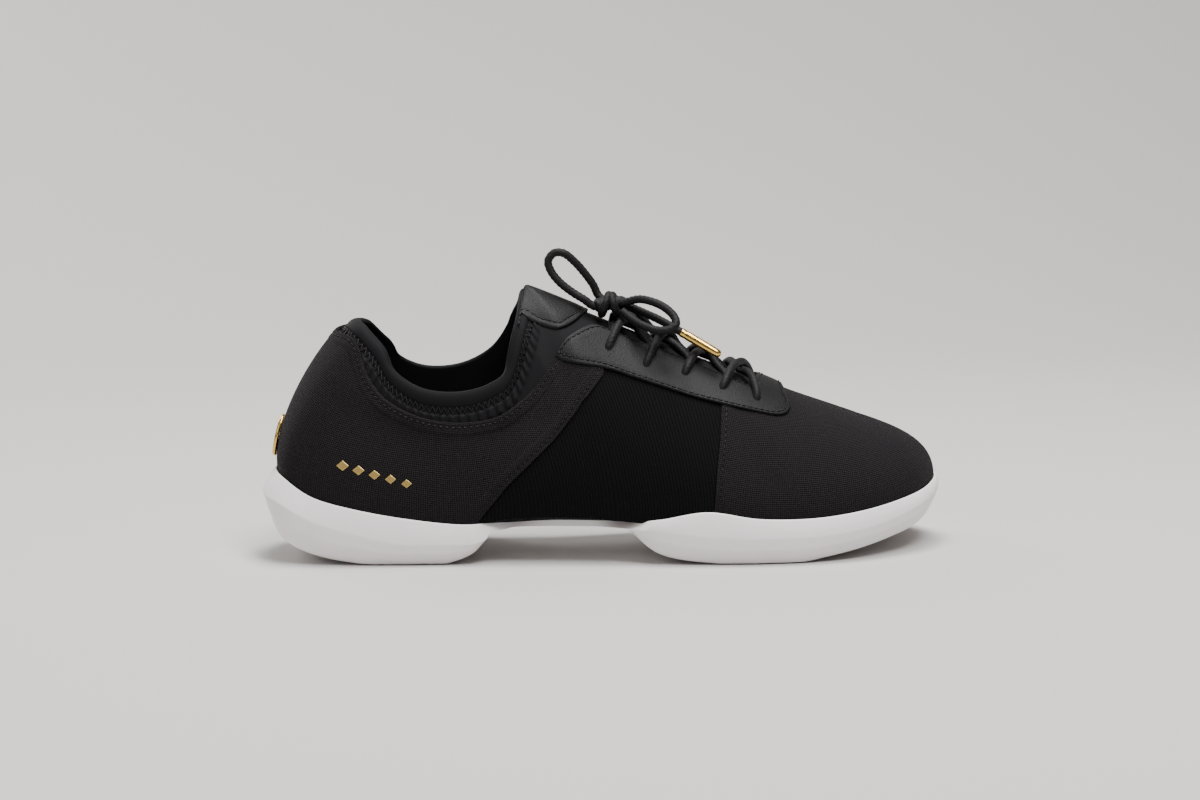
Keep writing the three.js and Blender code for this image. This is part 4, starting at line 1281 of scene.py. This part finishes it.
def collar_relief(place, gap, run):
    """Rolled rim, sunk zigzag row and puckers, on the ankle's part of the sock"""
    roll, zigzag = size("rim_roll"), size("zigzag_width")
    ankle = 1 - smooth_step(near_of(place), 8.6, 9.3)
    bulge = 0.55 * np.sin(np.clip(gap / roll, 0, 1) * math.pi) ** 0.7
    row = (smooth_step(gap, roll - 0.4, roll + 0.4)
           * (1 - smooth_step(gap, roll + zigzag - 0.3, roll + zigzag + 0.6)))
    wave = 0.5 + 0.5 * np.cos(2 * math.pi * run / size("pucker_pitch") + 0.9 * np.sin(run / 11.0))
    band = (smooth_step(gap, roll + zigzag - 0.4, roll + zigzag + 1.2)
            * (1 - smooth_step(gap, roll + zigzag + 3.6, roll + zigzag + 6.0)))
    ripple = 0.12 * np.cos(2 * math.pi * run / 1.3) * row
    return ankle * (bulge - 0.35 * row + size("pucker_depth") * wave * band + ripple)


def make_collar():
    place, share, flat, gap = collar_grid()
    run = length_across(flat)[run_row][None, :]
    normals = grid_normals(flat)
    outer = flat + normals * collar_relief(place, gap, run)[..., None]
    inner_base = skin(place, share, collar_offset - collar_wall)
    # The rim rolls over from the outer face to the inner one
    along_rib = unit(flat[-1] - flat[-3])
    rim = near_of(place[-1]) < tongue_top_row - 0.01
    rolled = []
    for turn in np.linspace(0, math.pi, 8)[1:-1]:
        middle = (outer[-1] + inner_base[-1]) / 2
        reach = (outer[-1] - inner_base[-1]) / 2
        lift = np.linalg.norm(reach, axis=-1, keepdims=True) * rim[:, None]
        rolled.append(middle + reach * math.cos(turn) + along_rib * lift * math.sin(turn) * 0.9)
    rows, columns = outer.shape[:2]
    stack = np.concatenate([outer, np.stack(rolled), inner_base[::-1]])
    faces = grid_faces(len(stack), columns)
    # Over the tongue the two sides meet on the ridge line instead of rolling over
    number = np.arange(stack.shape[0] * columns).reshape(stack.shape[:2])
    over_rim = np.zeros((len(stack) - 1, columns - 1), bool)
    over_rim[rows - 1:rows + len(rolled)] = True
    ankle = rim[:-1] | rim[1:]
    keep = ~(over_rim & ~ankle[None, :]).reshape(-1)
    faces = np.concatenate([faces[keep], strip_faces(number[-1], number[0])])
    flat_cloth = cloth_uv(place, share)
    uv = np.concatenate([flat_cloth.reshape(-1, 2), np.zeros((len(rolled) * columns, 2)),
                         flat_cloth[::-1].reshape(-1, 2)])
    piece = make_object("collar_sock", stack.reshape(-1, 3), faces, [finish(jersey_neoprene)], None, uv)
    weld(piece, 0.03)
    return finish_piece(piece, "neoprene", "collar_tongue")


def zigzag_line():
    """The collar's zigzag thread, from one end of the tongue round the heel to the other"""
    place, share, flat, gap = collar_grid()
    run = length_across(flat)[run_row]
    normals = grid_normals(flat)
    outer = flat + normals * (collar_relief(place, gap, run[None, :]) + 0.12)[..., None]
    keep = near_of(place[-1]) < 8.9
    zigzag_leg = 1.2
    turns = np.arange(run[keep][0], run[keep][-1], zigzag_leg)
    columns = np.interp(turns, run, np.arange(len(run)))
    line = []
    for i, column in enumerate(columns):
        depth = size("rim_roll") + (0.15 if i % 2 else size("zigzag_width") - 0.1)
        c = int(round(column))
        line.append([np.interp(-depth, -gap[:, c], outer[:, c, k]) for k in range(3)])
    return np.array(line)


# Eyestay and patch, laid out on the instep

def on_instep(side, x, z):
    """Row and share of side-view points, on both sides of the instep"""
    place, share = locate(side, x, z)
    return near_of(place), share


def instep_grid(near, across, offset):
    """Points of the foot form at rows and signed shares from the ridge line"""
    place = np.where(across <= 0, near, ring_rows - near)
    return skin(place, 1 - np.abs(across), offset)


def ridge_place(x):
    """Row whose rib ends at x on the ridge line"""
    ridge_rows = np.arange(tongue_top_row, last_row + 1)
    return np.interp(x, along_x(rib_table["top_along"][tongue_top_row:]), ridge_rows)


def instep_outline(line, side, crest_x):
    """Rows and signed distances from the ridge of a side-view line that ends at the ridge"""
    near, share = on_instep(side, line[:, 0], line[:, 1])
    rows = np.concatenate([near, [ridge_place(crest_x)]])
    shares = np.concatenate([(1 - share) * side, [0.0]])
    return np.stack([rows, shares], -1)


def even_line(points, count, weights=(7.0, 60.0)):
    """The same line at count even steps; weights turn its two columns to millimetres"""
    steps = np.linalg.norm(np.diff(points, axis=0) * weights, axis=1)
    run = np.concatenate([[0], np.cumsum(steps)])
    even = np.linspace(0, run[-1], count)
    return np.stack([np.interp(even, run, points[:, k]) for k in range(2)], -1)


def mirrored(outer, inner):
    """One line from the outer side's rear end over the ridge to the inner side's"""
    return np.concatenate([outer, inner[::-1][1:]])


def eyestay_band(count=190):
    # The throat line's last six points lie over the ridge line, off the form
    edges = []
    for line, crest_x in ((eyestay_edge, along_x(0.764)), (throat_edge[1:-6], throat_front_x - 0.6)):
        sides = [even_line(instep_outline(line, side, crest_x), count) for side in (-1, 1)]
        edges.append(mirrored(*sides))
    return edges


def overlay_profile(gap, wall):
    """Height over its underside of a leather edge that is pared round"""
    return wall * (0.55 + 0.45 * np.sqrt(np.clip(1 - (1 - np.clip(gap / 0.7, 0, 1)) ** 2, 0, 1)))


def make_eyestay():
    outer_edge, throat = eyestay_band()
    width = 16.0
    across = dense_ends(16, (0, 0.12, 0.3, 0.6, 1.2, 2.0, 2.8), width)[:, None, None]
    spots = mix(outer_edge[None], throat[None], across)
    near, signed = spots[..., 0], spots[..., 1]
    flat = instep_grid(near, signed, clearance + overlay_wall)
    up = length_up(flat)
    gap = np.minimum(up, up[-1] - up)
    profile = overlay_profile(gap, overlay_wall)
    groove = 0.16 * np.exp(-((gap - size("stitch_margin") + 0.1) / 0.5) ** 2)
    crown = 0.25 * smooth_step(gap, 0.5, 4.0)
    top = instep_grid(near, signed, clearance + profile - groove + crown)
    bottom = instep_grid(near, signed, clearance * 0.3)
    points, faces, _ = shell(top, bottom)
    piece = make_object("eyestay_leather", points, faces, [finish(microfibre_leather)])
    weld(piece, 0.02)
    cutter_parts = []
    for eyelet in eyelets:
        for spot in eyelet:
            cutter_parts.append(bore(spot["centre"], spot["normal"], eyelet_bore / 2, 6.0))
    cutter = make_object("eyelet_bores", *join_parts(cutter_parts), [])
    cut = piece.modifiers.new("eyelets", "BOOLEAN")
    cut.object = cutter
    cut.operation = "DIFFERENCE"
    cut.solver = "EXACT"
    apply_modifiers(piece)
    bpy.data.objects.remove(cutter)
    smooth_shade(piece.data)
    return finish_piece(piece, "leather", "eyestay")


def bore(centre, normal, radius, reach, sides=28):
    """Closed cylinder across a hole"""
    side = unit(np.cross(normal, [0.0, 0.0, 1.0]))
    other = np.cross(normal, side)
    turn = np.arange(sides) * 2 * math.pi / sides
    ring = (side * np.cos(turn)[:, None] + other * np.sin(turn)[:, None]) * radius
    points = np.concatenate([centre + ring - normal * reach, centre + ring + normal * reach])
    number = np.arange(sides)
    walls = np.stack([number, np.roll(number, -1), np.roll(number, -1) + sides, number + sides], -1)
    faces = [tuple(f) for f in walls[:, ::-1]] + [tuple(number), tuple((number + sides)[::-1])]
    return points, faces


def patch_outline(side):
    """Rows and signed distances from the ridge of the patch's stitched edge"""
    outline = side_line((
        (0.392, 0.912), (0.402, 0.893), (0.421, 0.870), (0.438, 0.858), (0.452, 0.863), (0.468, 0.882),
        (0.479, 0.902)), 10)
    line = instep_outline(outline, side, along_x(0.487))
    line = np.concatenate([[[line[0, 0] - 0.03, 0.0]], line])
    line[:, 0] = np.maximum.accumulate(line[:, 0])
    return line


def patch_halves():
    """Each half of the tongue patch: its top and bottom points from the rim or the ridge
    line down to the stitched edge, and its distances from that edge"""
    base = collar_offset + clearance
    lines = [patch_outline(side) for side in (-1, 1)]
    rear, front = min(line[0, 0] for line in lines), lines[0][-1, 0]
    rows = rear + (front - rear) * (0.5 - 0.5 * np.cos(np.linspace(0, math.pi, 61)))
    rows[np.argmin(np.abs(rows - tongue_top_row))] = tongue_top_row
    across = dense_ends(24, (0, 0.15, 0.35, 0.7, 1.3, 2.0, 2.7), 30.0)
    near = np.broadcast_to(rows[:, None], (len(rows), len(across)))
    edge = np.concatenate([instep_grid(dense[:, 0], dense[:, 1], base)
                           for dense in (even_line(line[1:], 500) for line in lines)])
    rim_rows = np.linspace(rear, tongue_top_row, 120)
    halves = []
    for line, side in zip(lines, (-1, 1)):
        width = np.interp(rows, line[:, 0], np.abs(line[:, 1]))
        signed = side * width[:, None] * across
        flat = instep_grid(near, signed, base)
        gap = gap_to(flat, edge)
        rim_gap = gap_to(flat, instep_grid(rim_rows, np.full(len(rim_rows), side * 1e-6), base))
        groove = 0.2 * np.exp(-((gap - size("stitch_margin")) / 0.5) ** 2)
        relief = overlay_profile(np.minimum(gap, rim_gap), patch_wall) - groove + 0.3 * smooth_step(gap, 1, 6)
        halves.append((instep_grid(near, signed, base + relief), instep_grid(near, signed, base - 0.5), gap))
    return halves, int(np.argmax(rows >= tongue_top_row))


def make_patch():
    """Rounded leather patch over the tongue's top edge"""
    parts = []
    halves, ridge_row = patch_halves()
    for top, bottom, _ in halves:
        points, faces, _ = shell(top, bottom)
        # Past the tongue's top the halves meet on the ridge line, with no wall between them
        count, columns = top.shape[0] * top.shape[1], top.shape[1]
        grid_place = faces % count
        wall = (faces.min(1) < count) & (faces.max(1) >= count)
        on_ridge = (grid_place % columns == 0).all(1) & ((grid_place // columns).min(1) >= ridge_row)
        parts.append((points, faces[~(wall & on_ridge)]))
    piece = make_object("tongue_patch_leather", *join_parts(parts), [finish(microfibre_leather)])
    weld(piece, 0.03)
    return finish_piece(piece, "leather", "tongue_patch")


def patch_stitch_line():
    """Line a stitch margin in from the patch's lower edge, from side to side"""
    sides = []
    for top, bottom, gap in patch_halves()[0]:
        raised = top + unit(top - bottom) * 0.15
        inwards = [(row[::-1], away[::-1]) for row, away in zip(raised, gap)]
        sides.append(np.array([row[int(np.argmax(away > size("stitch_margin")))] for row, away in inwards
                               if away.max() > size("stitch_margin") + 0.1]))
    return smooth_path(np.concatenate([sides[0][::4], sides[1][::-4]]), 0.5)


def make_insole():
    """Insole with a soft cup round its edge"""
    columns = 360
    place = np.linspace(0, ring_rows, columns + 1)[:-1]
    inset = upper_wall + 3 * clearance
    floor = upper_wall + clearance
    outward = outward_of(base_x, base_y, place)
    tuck = mix(cup_tuck, arch_tuck, arch_share(base_x(place)))
    rows = ((0.4, -2.0), (-0.75, -2.0), (-0.75, 0.2), (-0.6, 2.2), (0.0, 2.9), (0.6, 3.3), (1.6, 3.2),
            (4.0, 3.0), (9.0, 2.85))
    rings = []
    for further, height in rows:
        point = stack3(base_x(place), base_y(place), 0.0) - outward * (tuck + inset + further)[:, None]
        point[:, 2] = bed_curve(point[:, 0]) + clearance + floor + height * insole_wall / 3.0
        rings.append(point)
    grid = np.stack(rings)
    faces = [grid_faces(len(rings), columns, 0, True)]
    for row, turn in ((0, -1), (len(rings) - 1, 1)):
        strip = strip_faces(*halves_of(np.arange(columns) + row * columns))
        faces.append(strip[:, ::turn])
    points = grid.reshape(-1, 3)
    piece = make_object("insole_board", points, plain_faces(faces), [finish(insole_cloth)], None,
                        points[:, :2])
    weld(piece, 0.01)
    return finish_piece(piece, "liner", "insole")


def make_badge():
    """Plain oval badge with a rounded edge, bent to the back of the heel"""
    width, height = 12.0, 17.5
    centre_z = heel_cup_height + clearance + 4.5 + height / 2
    sides = 64
    turn = np.arange(sides) * 2 * math.pi / sides
    rings = ((0.02, 0.0), (1.0, 0.0), (1.0, 0.55), (0.97, 0.85), (0.91, 1.0), (0.80, 0.93), (0.74, 0.80),
             (0.45, 0.88), (0.02, 0.92))
    layers = []
    for scale, rise in rings:
        y = np.cos(turn) * width / 2 * scale
        z = centre_z + np.sin(turn) * height / 2 * scale
        layers.append(heel_points(y, z, clearance + rise * badge_wall))
    faces = capped_faces(len(layers), sides)
    piece = make_object("heel_badge", np.concatenate(layers), faces, [finish(gold_plate)])
    weld(piece, 0.01)
    return finish_piece(piece, "gold", "heel_charm")


def heel_points(y, z, offset):
    """Points of the foot form at the back of the heel, seen from behind at y, z"""
    place = np.clip(-y / 12.0, -2, 2)
    share = np.clip((z - heel_cup_height) / 62.0, 0.02, 0.9)
    step = 0.01
    for _ in range(20):
        here = skin(place, share, offset)
        by_place = (skin(place + step, share, offset) - here) / step
        by_share = (skin(place, share + step, offset) - here) / step
        gap_y, gap_z = y - here[:, 1], z - here[:, 2]
        area = by_place[:, 1] * by_share[:, 2] - by_place[:, 2] * by_share[:, 1]
        place = place + np.clip((gap_y * by_share[:, 2] - gap_z * by_share[:, 1]) / area, -0.4, 0.4)
        share_step = np.clip((by_place[:, 1] * gap_z - by_place[:, 2] * gap_y) / area, -0.1, 0.1)
        share = np.clip(share + share_step, 0, 0.98)
    return skin(place, share, offset)


# Lace

def find_eyelets():
    rows = []
    for along, height in eyelet_table:
        pair = []
        for side in (-1, 1):
            place, share = locate(side, along_x(along), np.float64(height * tongue_height))
            pair.append({"side": side, "place": float(place), "share": float(share),
                         "centre": skin(place, share), "normal": normal_at(place, share, 0.02)})
        rows.append(pair)
    return rows


eyelets = find_eyelets()
lace_over_tongue = collar_offset + lace_diameter / 2 + 0.1
lace_hump = 3.3
way_under = 0.74
way_over = 0.46
bar_x = 6.0


def over_instep(eyelet, x, way, height):
    """Point at x on the way from an eyelet's share of its rib to the ridge line"""
    share = mix(eyelet["share"], 1, way)
    near = mix(near_of(eyelet["place"]), ridge_place(x), way)
    side = eyelet["side"]
    step = 0.02
    for _ in range(6):
        here = skin(place_on(side, near), share)[0]
        near = near + (x - here) * step / (skin(place_on(side, near + step), share)[0] - here)
    return skin(place_on(side, near), share, height)


def strand(start, end, from_outside, crest_height):
    """One strand of a crossing, from inside the shoe at start to inside it at end"""
    start_x, end_x = start["centre"][0], end["centre"][0]
    crest_x = mix(end_x, start_x, 0.58)
    resting = clearance + overlay_wall + lace_diameter / 2 + 0.1

    def over_eyestay(eyelet):
        ways = ((-0.02, -3.0), (0.0, 0.8), (0.12, resting - 0.2), (way_over, resting))
        own = eyelet["centre"][0]
        return [over_instep(eyelet, mix(own, crest_x, way), way, height) for way, height in ways]

    if from_outside:
        points = over_eyestay(start)
    else:
        onwards = start_x + 3.5
        points = [over_instep(start, start_x + 1.0, 0.30, -3.4), over_instep(start, onwards, 0.52, -2.4),
                  over_instep(start, mix(onwards, crest_x, 0.5), way_under, lace_over_tongue)]
    points.append(over_instep(start, crest_x, 1, crest_height))
    return points + over_eyestay(end)[::-1]


def lace_piece(name, routes, *nodes):
    parts = [braided_tube(route, lace_diameter)[:2] for route in routes]
    piece = make_object(name, *join_parts(parts), [finish(braided_polyester)])
    return finish_piece(piece, "lace", *nodes)


def make_crossings():
    for front in range(len(eyelets) - 1):
        (outer, inner), (outer_next, inner_next) = eyelets[front], eyelets[front + 1]
        heights = [lace_over_tongue + 0.2, lace_over_tongue + lace_hump]
        routes = [strand(outer, inner_next, front == 0, heights[front % 2]),
                  strand(inner, outer_next, front == 0, heights[1 - front % 2])]
        lace_piece(f"lace_strands_{front + 1}", routes, f"lace_cross_{front + 1}")
    outer, inner = eyelets[-1]
    ways = ((outer, 0.30, -3.4), (outer, 0.52, -2.6), (outer, way_under, lace_over_tongue + 0.1),
            (outer, 1, lace_over_tongue + 0.9), (inner, way_under, lace_over_tongue + 0.1),
            (inner, 0.52, -2.6), (inner, 0.30, -3.4))
    bar = [over_instep(eyelet, bar_x, way, height) for eyelet, way, height in ways]
    lace_piece("lace_strand_top", [bar], "lace_bar_top")


# The bow's free lace, in millimetres
upright_loop = (
    (2.0, -2.6, 102.8), (-2.2, -3, 103.4), (-6.0, -3, 106.2), (-10.5, -2, 109.0), (-16.2, -1, 113.6),
    (-19.8, 0, 118.4), (-20.7, 0.5, 122.4), (-18.1, 1, 125.6), (-14.2, 1, 125.4), (-9.6, 1.5, 121.6),
    (-5.4, 2, 116.6), (-2.0, 2.5, 111.6), (-0.2, 2.2, 107.6), (2.6, 0.8, 104.8),
)
forward_loop = (
    (7.2, -2.8, 103.6), (11.4, -4.2, 104.8), (17, -6.6, 106.2), (23, -10, 105.2), (28, -13, 102.8),
    (31.4, -16, 99.4), (31.9, -18.5, 96.6), (29, -19.5, 94.6), (24, -18.5, 94.4), (19, -16, 95.8),
    (14.4, -11.4, 98.0), (10.0, -6.4, 101.2),
)
outer_end = (
    (7.0, 0.4, 105.0), (11.2, -0.8, 103.4), (17, -3, 101.0), (24, -6, 98.0), (29.5, -8.6, 95.2),
    (34.6, -10, 92.2),
)
inner_end = (
    (6.2, 2.0, 104.4), (9.2, 6.2, 103.4), (14.2, 11.8, 100.2), (19.6, 17, 94.2), (24.8, 21.4, 87.4),
    (29.0, 24.4, 82.2),
)
knot_centre = np.array([5.0, -2.0, 104.0])


def tip_of(points, name, node):
    """Metal tip crimped on a lace end: a rolled tube with a domed point"""
    last, before = np.array(points[-1], float), np.array(points[-2], float)
    onwards = unit(last - before)
    side = unit(np.cross(onwards, [0.0, 0.0, 1.0]))
    other = np.cross(onwards, side)
    rows = ((-0.6, 0.72), (-0.6, 0.98), (-0.3, 1.0), (0.6, 1.0), (1.2, 0.95), (1.6, 0.93), (2.2, 0.95),
            (2.8, 1.0), (12.0, 0.98), (16.6, 0.94), (17.8, 0.86), (18.5, 0.66), (18.8, 0.3))
    sides = 28
    turn = np.arange(sides) * 2 * math.pi / sides
    layers = []
    for along, share in rows:
        ring = (side * np.cos(turn)[:, None] + other * np.sin(turn)[:, None]) * share * aglet_diameter / 2
        layers.append(last + onwards * (clearance + along * aglet_length / 18.8) + ring)
    faces = capped_faces(len(layers), sides)
    piece = make_object(name, np.concatenate(layers), faces, [finish(gold_plate)])
    return finish_piece(piece, "gold", node)


def free_lace(name, points, node):
    body, faces, path = braided_tube(points, lace_diameter)
    piece = make_object(name, body, faces, [finish(braided_polyester)])
    finish_piece(piece, "lace", node)
    return piece


def make_knot():
    """Knot of the bow: two turns drawn tight round the crossing lace"""
    parts = []
    for lean, shift_x, tall in ((0.30, -2.1, 3.9), (-0.22, 1.9, 3.7)):
        turn = np.linspace(0, 2 * math.pi, 15)[:-1]
        ring = [knot_centre + np.array([shift_x + lean * 5.2 * math.sin(t) + 0.5 * math.cos(t),
                                        4.4 * math.cos(t), tall * math.sin(t) - 0.2]) for t in turn]
        ring.append(ring[0] + np.array([0.5, 0.2, 0.0]))
        parts.append(braided_tube(ring, lace_diameter)[:2])
    core = knot_centre + np.array([(-6.6, -1.0, -0.9), (-2, 0, 0.2), (3, 0.4, 0.3), (6.4, 0.8, -0.4)])
    core_swell = 2.8
    parts.append(braided_tube(core, lace_diameter + core_swell, end_taper=0.6)[:2])
    piece = make_object("bow_knot", *join_parts(parts), [finish(braided_polyester)])
    return finish_piece(piece, "lace", "lace_knot")


# Stitches and print

def beside_seam(name, side, onwards):
    """Line a stitch margin away from a seam, towards the toe where onwards is 1"""
    path = seam_path(name, side, 160)[6:-8]
    place, share = path[:, 0], path[:, 1]
    normal = normal_at(place, share, 0.01)
    points = skin(place, share)
    away = unit(np.cross(np.gradient(points, axis=0), normal)) * -side * onwards
    return points + away * size("stitch_margin") + normal * 0.22


def seam_stitches():
    """Stitch rows on the canvas: along the collar edge and beside the gore seams"""
    margin = size("stitch_margin")
    left, right = seam_path("rear", 1)[-1, 0] - ring_rows, seam_path("rear", -1)[-1, 0]
    place = np.linspace(left, right, 900)
    top = canvas_top_share(place)
    here = skin(place, top)
    below = skin(place, top - 0.05)
    share = top - 0.05 * margin / np.linalg.norm(here - below, axis=-1)
    keep = near_of(place) < 8.2
    lines = [skin(place, share, 0.22)[keep]]
    lines.extend(beside_seam("rear", side, -1) for side in (-1, 1))
    lines.extend(beside_seam("front", side, 1) for side in (-1, 1))
    return lines


def leather_stitches():
    """Stitch rows on the eyestay and the tongue patch"""
    lines = []
    outer_edge, throat = eyestay_band()
    for edge, other in ((outer_edge, throat), (throat, outer_edge)):
        here = instep_grid(edge[:, 0], edge[:, 1], 0)
        there = instep_grid(other[:, 0], other[:, 1], 0)
        width = np.linalg.norm(here - there, axis=-1)
        share = np.clip(1.9 / np.maximum(width, 0.1), 0, 0.5)[:, None]
        spots = mix(edge, other, share)
        keep = width > 3.2
        lines.append(instep_grid(spots[:, 0], spots[:, 1], clearance + overlay_wall + 0.2)[keep])
    lines.append(patch_stitch_line())
    return lines


def make_print():
    """Short row of plain gold diamonds in the print's place"""
    parts = []
    cells = np.linspace(-1, 1, 9)
    u, v = np.meshgrid(cells, cells)
    for i in range(5):
        x = -107.0 + 6.6 * i
        z = 42.0 - 1.9 * i
        half_x, half_z = 2.7 - 0.12 * i, 2.1 - 0.08 * i
        place, share = locate(-1, x + (u - v) * half_x / 2, z + (u + v) * half_z / 2)
        relief = crease_relief(skin(place, share))
        parts.append(shell(skin(place, share, 0.12 + relief), skin(place, share, -0.1 + relief))[:2])
    piece = make_object("heel_print", *join_parts(parts), [finish(gold_print)])
    weld(piece, 0.005)
    return finish_piece(piece, "gold")


# Stage

camera_distance = 1.197
camera_lift = math.radians(8.0)
camera_roll = math.radians(-1.16)
look_at = Vector((0.0, 0.0, 0.063))


def make_camera():
    data = bpy.data.cameras.new("photo_camera")
    data.lens = 85
    data.sensor_width = 36
    camera = put("photo_camera", data)
    away = Vector((0, -math.cos(camera_lift), math.sin(camera_lift)))
    turned = (-away).to_track_quat("-Z", "Y").to_matrix().to_4x4()
    camera.matrix_world = (Matrix.Translation(look_at + away * camera_distance) @ turned
                           @ Matrix.Rotation(camera_roll, 4, "Z"))
    bpy.context.scene.camera = camera
    return camera


def make_floor():
    """Floor that sweeps up into a backdrop"""
    half, front, depth, rise, bend = 9.0, -12.0, 1.4, 2.2, 0.8
    profile = [(front, 0.0), (depth - bend, 0.0)]
    for turn in np.linspace(0.1, math.pi / 2, 14):
        profile.append((depth - bend + bend * math.sin(turn), bend - bend * math.cos(turn)))
    profile.append((depth, rise))
    points = [(x, y, z) for y, z in profile for x in (-half, half)]
    faces = [(2 * i, 2 * i + 1, 2 * i + 3, 2 * i + 2) for i in range(len(profile) - 1)]
    mesh = bpy.data.meshes.new("studio_floor")
    mesh.from_pydata(points, [], faces)
    mesh.materials.append(finish(pale_floor))
    smooth_shade(mesh)
    put("studio_floor", mesh)


def make_lights():
    rows = (
        ("key_softbox", (0.45, -0.75, 1.5), 0.6, 30.0),
        ("fill_softbox", (-1.1, -0.9, 0.8), 0.9, 5.0),
        ("top_softbox", (0.05, 0.05, 1.3), 0.6, 26.0),
        ("rim_softbox", (-0.9, 0.9, 0.8), 0.7, 10.0),
    )
    aim = Vector((0, 0, 0.05))
    for name, spot, width, power in rows:
        data = bpy.data.lights.new(name, "AREA")
        data.shape = "SQUARE"
        data.size = width
        data.energy = power
        lamp = put(name, data)
        lamp.location = spot
        lamp.rotation_euler = (aim - Vector(spot)).to_track_quat("-Z", "Y").to_euler()
    world = bpy.data.worlds.new("studio_air")
    world.use_nodes = True
    world.node_tree.nodes["Background"].inputs["Color"].default_value = (0.9, 0.93, 1.0, 1.0)
    world.node_tree.nodes["Background"].inputs["Strength"].default_value = 0.14
    bpy.context.scene.world = world


def make_bow():
    free_lace("bow_upright", upright_loop, "bow_loop_upright")
    free_lace("bow_forward", forward_loop, "bow_loop_forward")
    outer_tip = tip_of(outer_end, "outer_tip", "aglet_outer")
    inner_tip = tip_of(inner_end, "inner_tip", "aglet_inner")
    free_lace("lace_tail_outer", outer_end, "lace_end_outer")
    free_lace("lace_tail_inner", inner_end, "lace_end_inner")
    make_knot()


def make_gores():
    make_gore("gore_outer", -1)
    make_gore("gore_inner", 1)


def make_stitches():
    sizes = bpy.context.scene.shoe_sizes
    row = {"Pitch": sizes.stitch_pitch, "Thread": sizes.stitch_thread, "Material": finish(sewing_thread)}
    tree = stitch_tree()
    sewn_piece("canvas_stitches", seam_stitches(), tree, "lace", **row)
    sewn_piece("leather_stitches", leather_stitches(), tree, "lace", **row)
    sewn_piece("collar_zigzag", [zigzag_line()], thread_tree(), "lace", Thread=sizes.zigzag_thread,
               Material=finish(sewing_thread))


# Operators

class Maker:
    """Runs the functions that an operator lists"""
    jobs = ()

    def execute(self, context):
        for job in self.jobs:
            job()
        return {"FINISHED"}


class ShoeStage(Maker, bpy.types.Operator):
    """Make the floor, the lights and the camera"""
    bl_idname = "shoe.stage"
    bl_label = "Stage"
    jobs = (make_camera, make_floor, make_lights)


class ShoeBow(Maker, bpy.types.Operator):
    """Make the bow: knot, loops, ends and metal tips"""
    bl_idname = "shoe.bow"
    bl_label = "Bow"
    jobs = (make_bow,)


class ShoeLacing(Maker, bpy.types.Operator):
    """Run the lace through the eyelets"""
    bl_idname = "shoe.lacing"
    bl_label = "Lacing"
    jobs = (make_crossings,)


class ShoeSole(Maker, bpy.types.Operator):
    """Make the split sole"""
    bl_idname = "shoe.sole"
    bl_label = "Sole"
    jobs = (make_sole,)


class ShoeInsole(Maker, bpy.types.Operator):
    """Make the insole"""
    bl_idname = "shoe.insole"
    bl_label = "Insole"
    jobs = (make_insole,)


class ShoeCanvas(Maker, bpy.types.Operator):
    """Make the canvas quarter and vamp"""
    bl_idname = "shoe.canvas"
    bl_label = "Canvas"
    jobs = (make_canvas,)


class ShoeGore(Maker, bpy.types.Operator):
    """Make the elastic gore panels"""
    bl_idname = "shoe.gore"
    bl_label = "Gore"
    jobs = (make_gores,)


class ShoeCollar(Maker, bpy.types.Operator):
    """Make the neoprene collar and tongue"""
    bl_idname = "shoe.collar"
    bl_label = "Collar and tongue"
    jobs = (make_collar,)


class ShoeLeather(Maker, bpy.types.Operator):
    """Make the eyestay and the tongue patch"""
    bl_idname = "shoe.leather"
    bl_label = "Leather"
    jobs = (make_eyestay, make_patch)


class ShoeBadge(Maker, bpy.types.Operator):
    """Make the heel badge and the gold print"""
    bl_idname = "shoe.badge"
    bl_label = "Badge and print"
    jobs = (make_badge, make_print)


class ShoeStitches(Maker, bpy.types.Operator):
    """Sew the stitch rows and the collar's zigzag"""
    bl_idname = "shoe.stitches"
    bl_label = "Stitches"
    jobs = (make_stitches,)


class ShoePanel(bpy.types.Panel):
    """Lists the shoe's makers, sizes and colours"""
    bl_idname = "VIEW3D_PT_shoe"
    bl_label = "Dance sneaker"
    bl_space_type = "VIEW_3D"
    bl_region_type = "UI"
    bl_category = "Shoe"

    def draw(self, context):
        for group in (context.scene.shoe_sizes, context.scene.shoe_colours):
            for name in group.__annotations__:
                self.layout.prop(group, name)
        for maker in makers:
            self.layout.operator(maker.bl_idname)


makers = (ShoeStage, ShoeBow, ShoeLacing, ShoeSole, ShoeInsole, ShoeCanvas, ShoeGore, ShoeCollar,
          ShoeLeather, ShoeBadge, ShoeStitches)
classes = (ShoeSizes, ShoeColours) + makers + (ShoePanel,)


def register():
    for entry in classes:
        bpy.utils.register_class(entry)
    bpy.types.Scene.shoe_sizes = bpy.props.PointerProperty(type=ShoeSizes)
    bpy.types.Scene.shoe_colours = bpy.props.PointerProperty(type=ShoeColours)


def unregister():
    del bpy.types.Scene.shoe_colours
    del bpy.types.Scene.shoe_sizes
    for entry in reversed(classes):
        bpy.utils.unregister_class(entry)


def main():
    register()
    for maker in makers:
        group, name = maker.bl_idname.split(".")
        getattr(getattr(bpy.ops, group), name)()


if __name__ == "__main__":
    main()
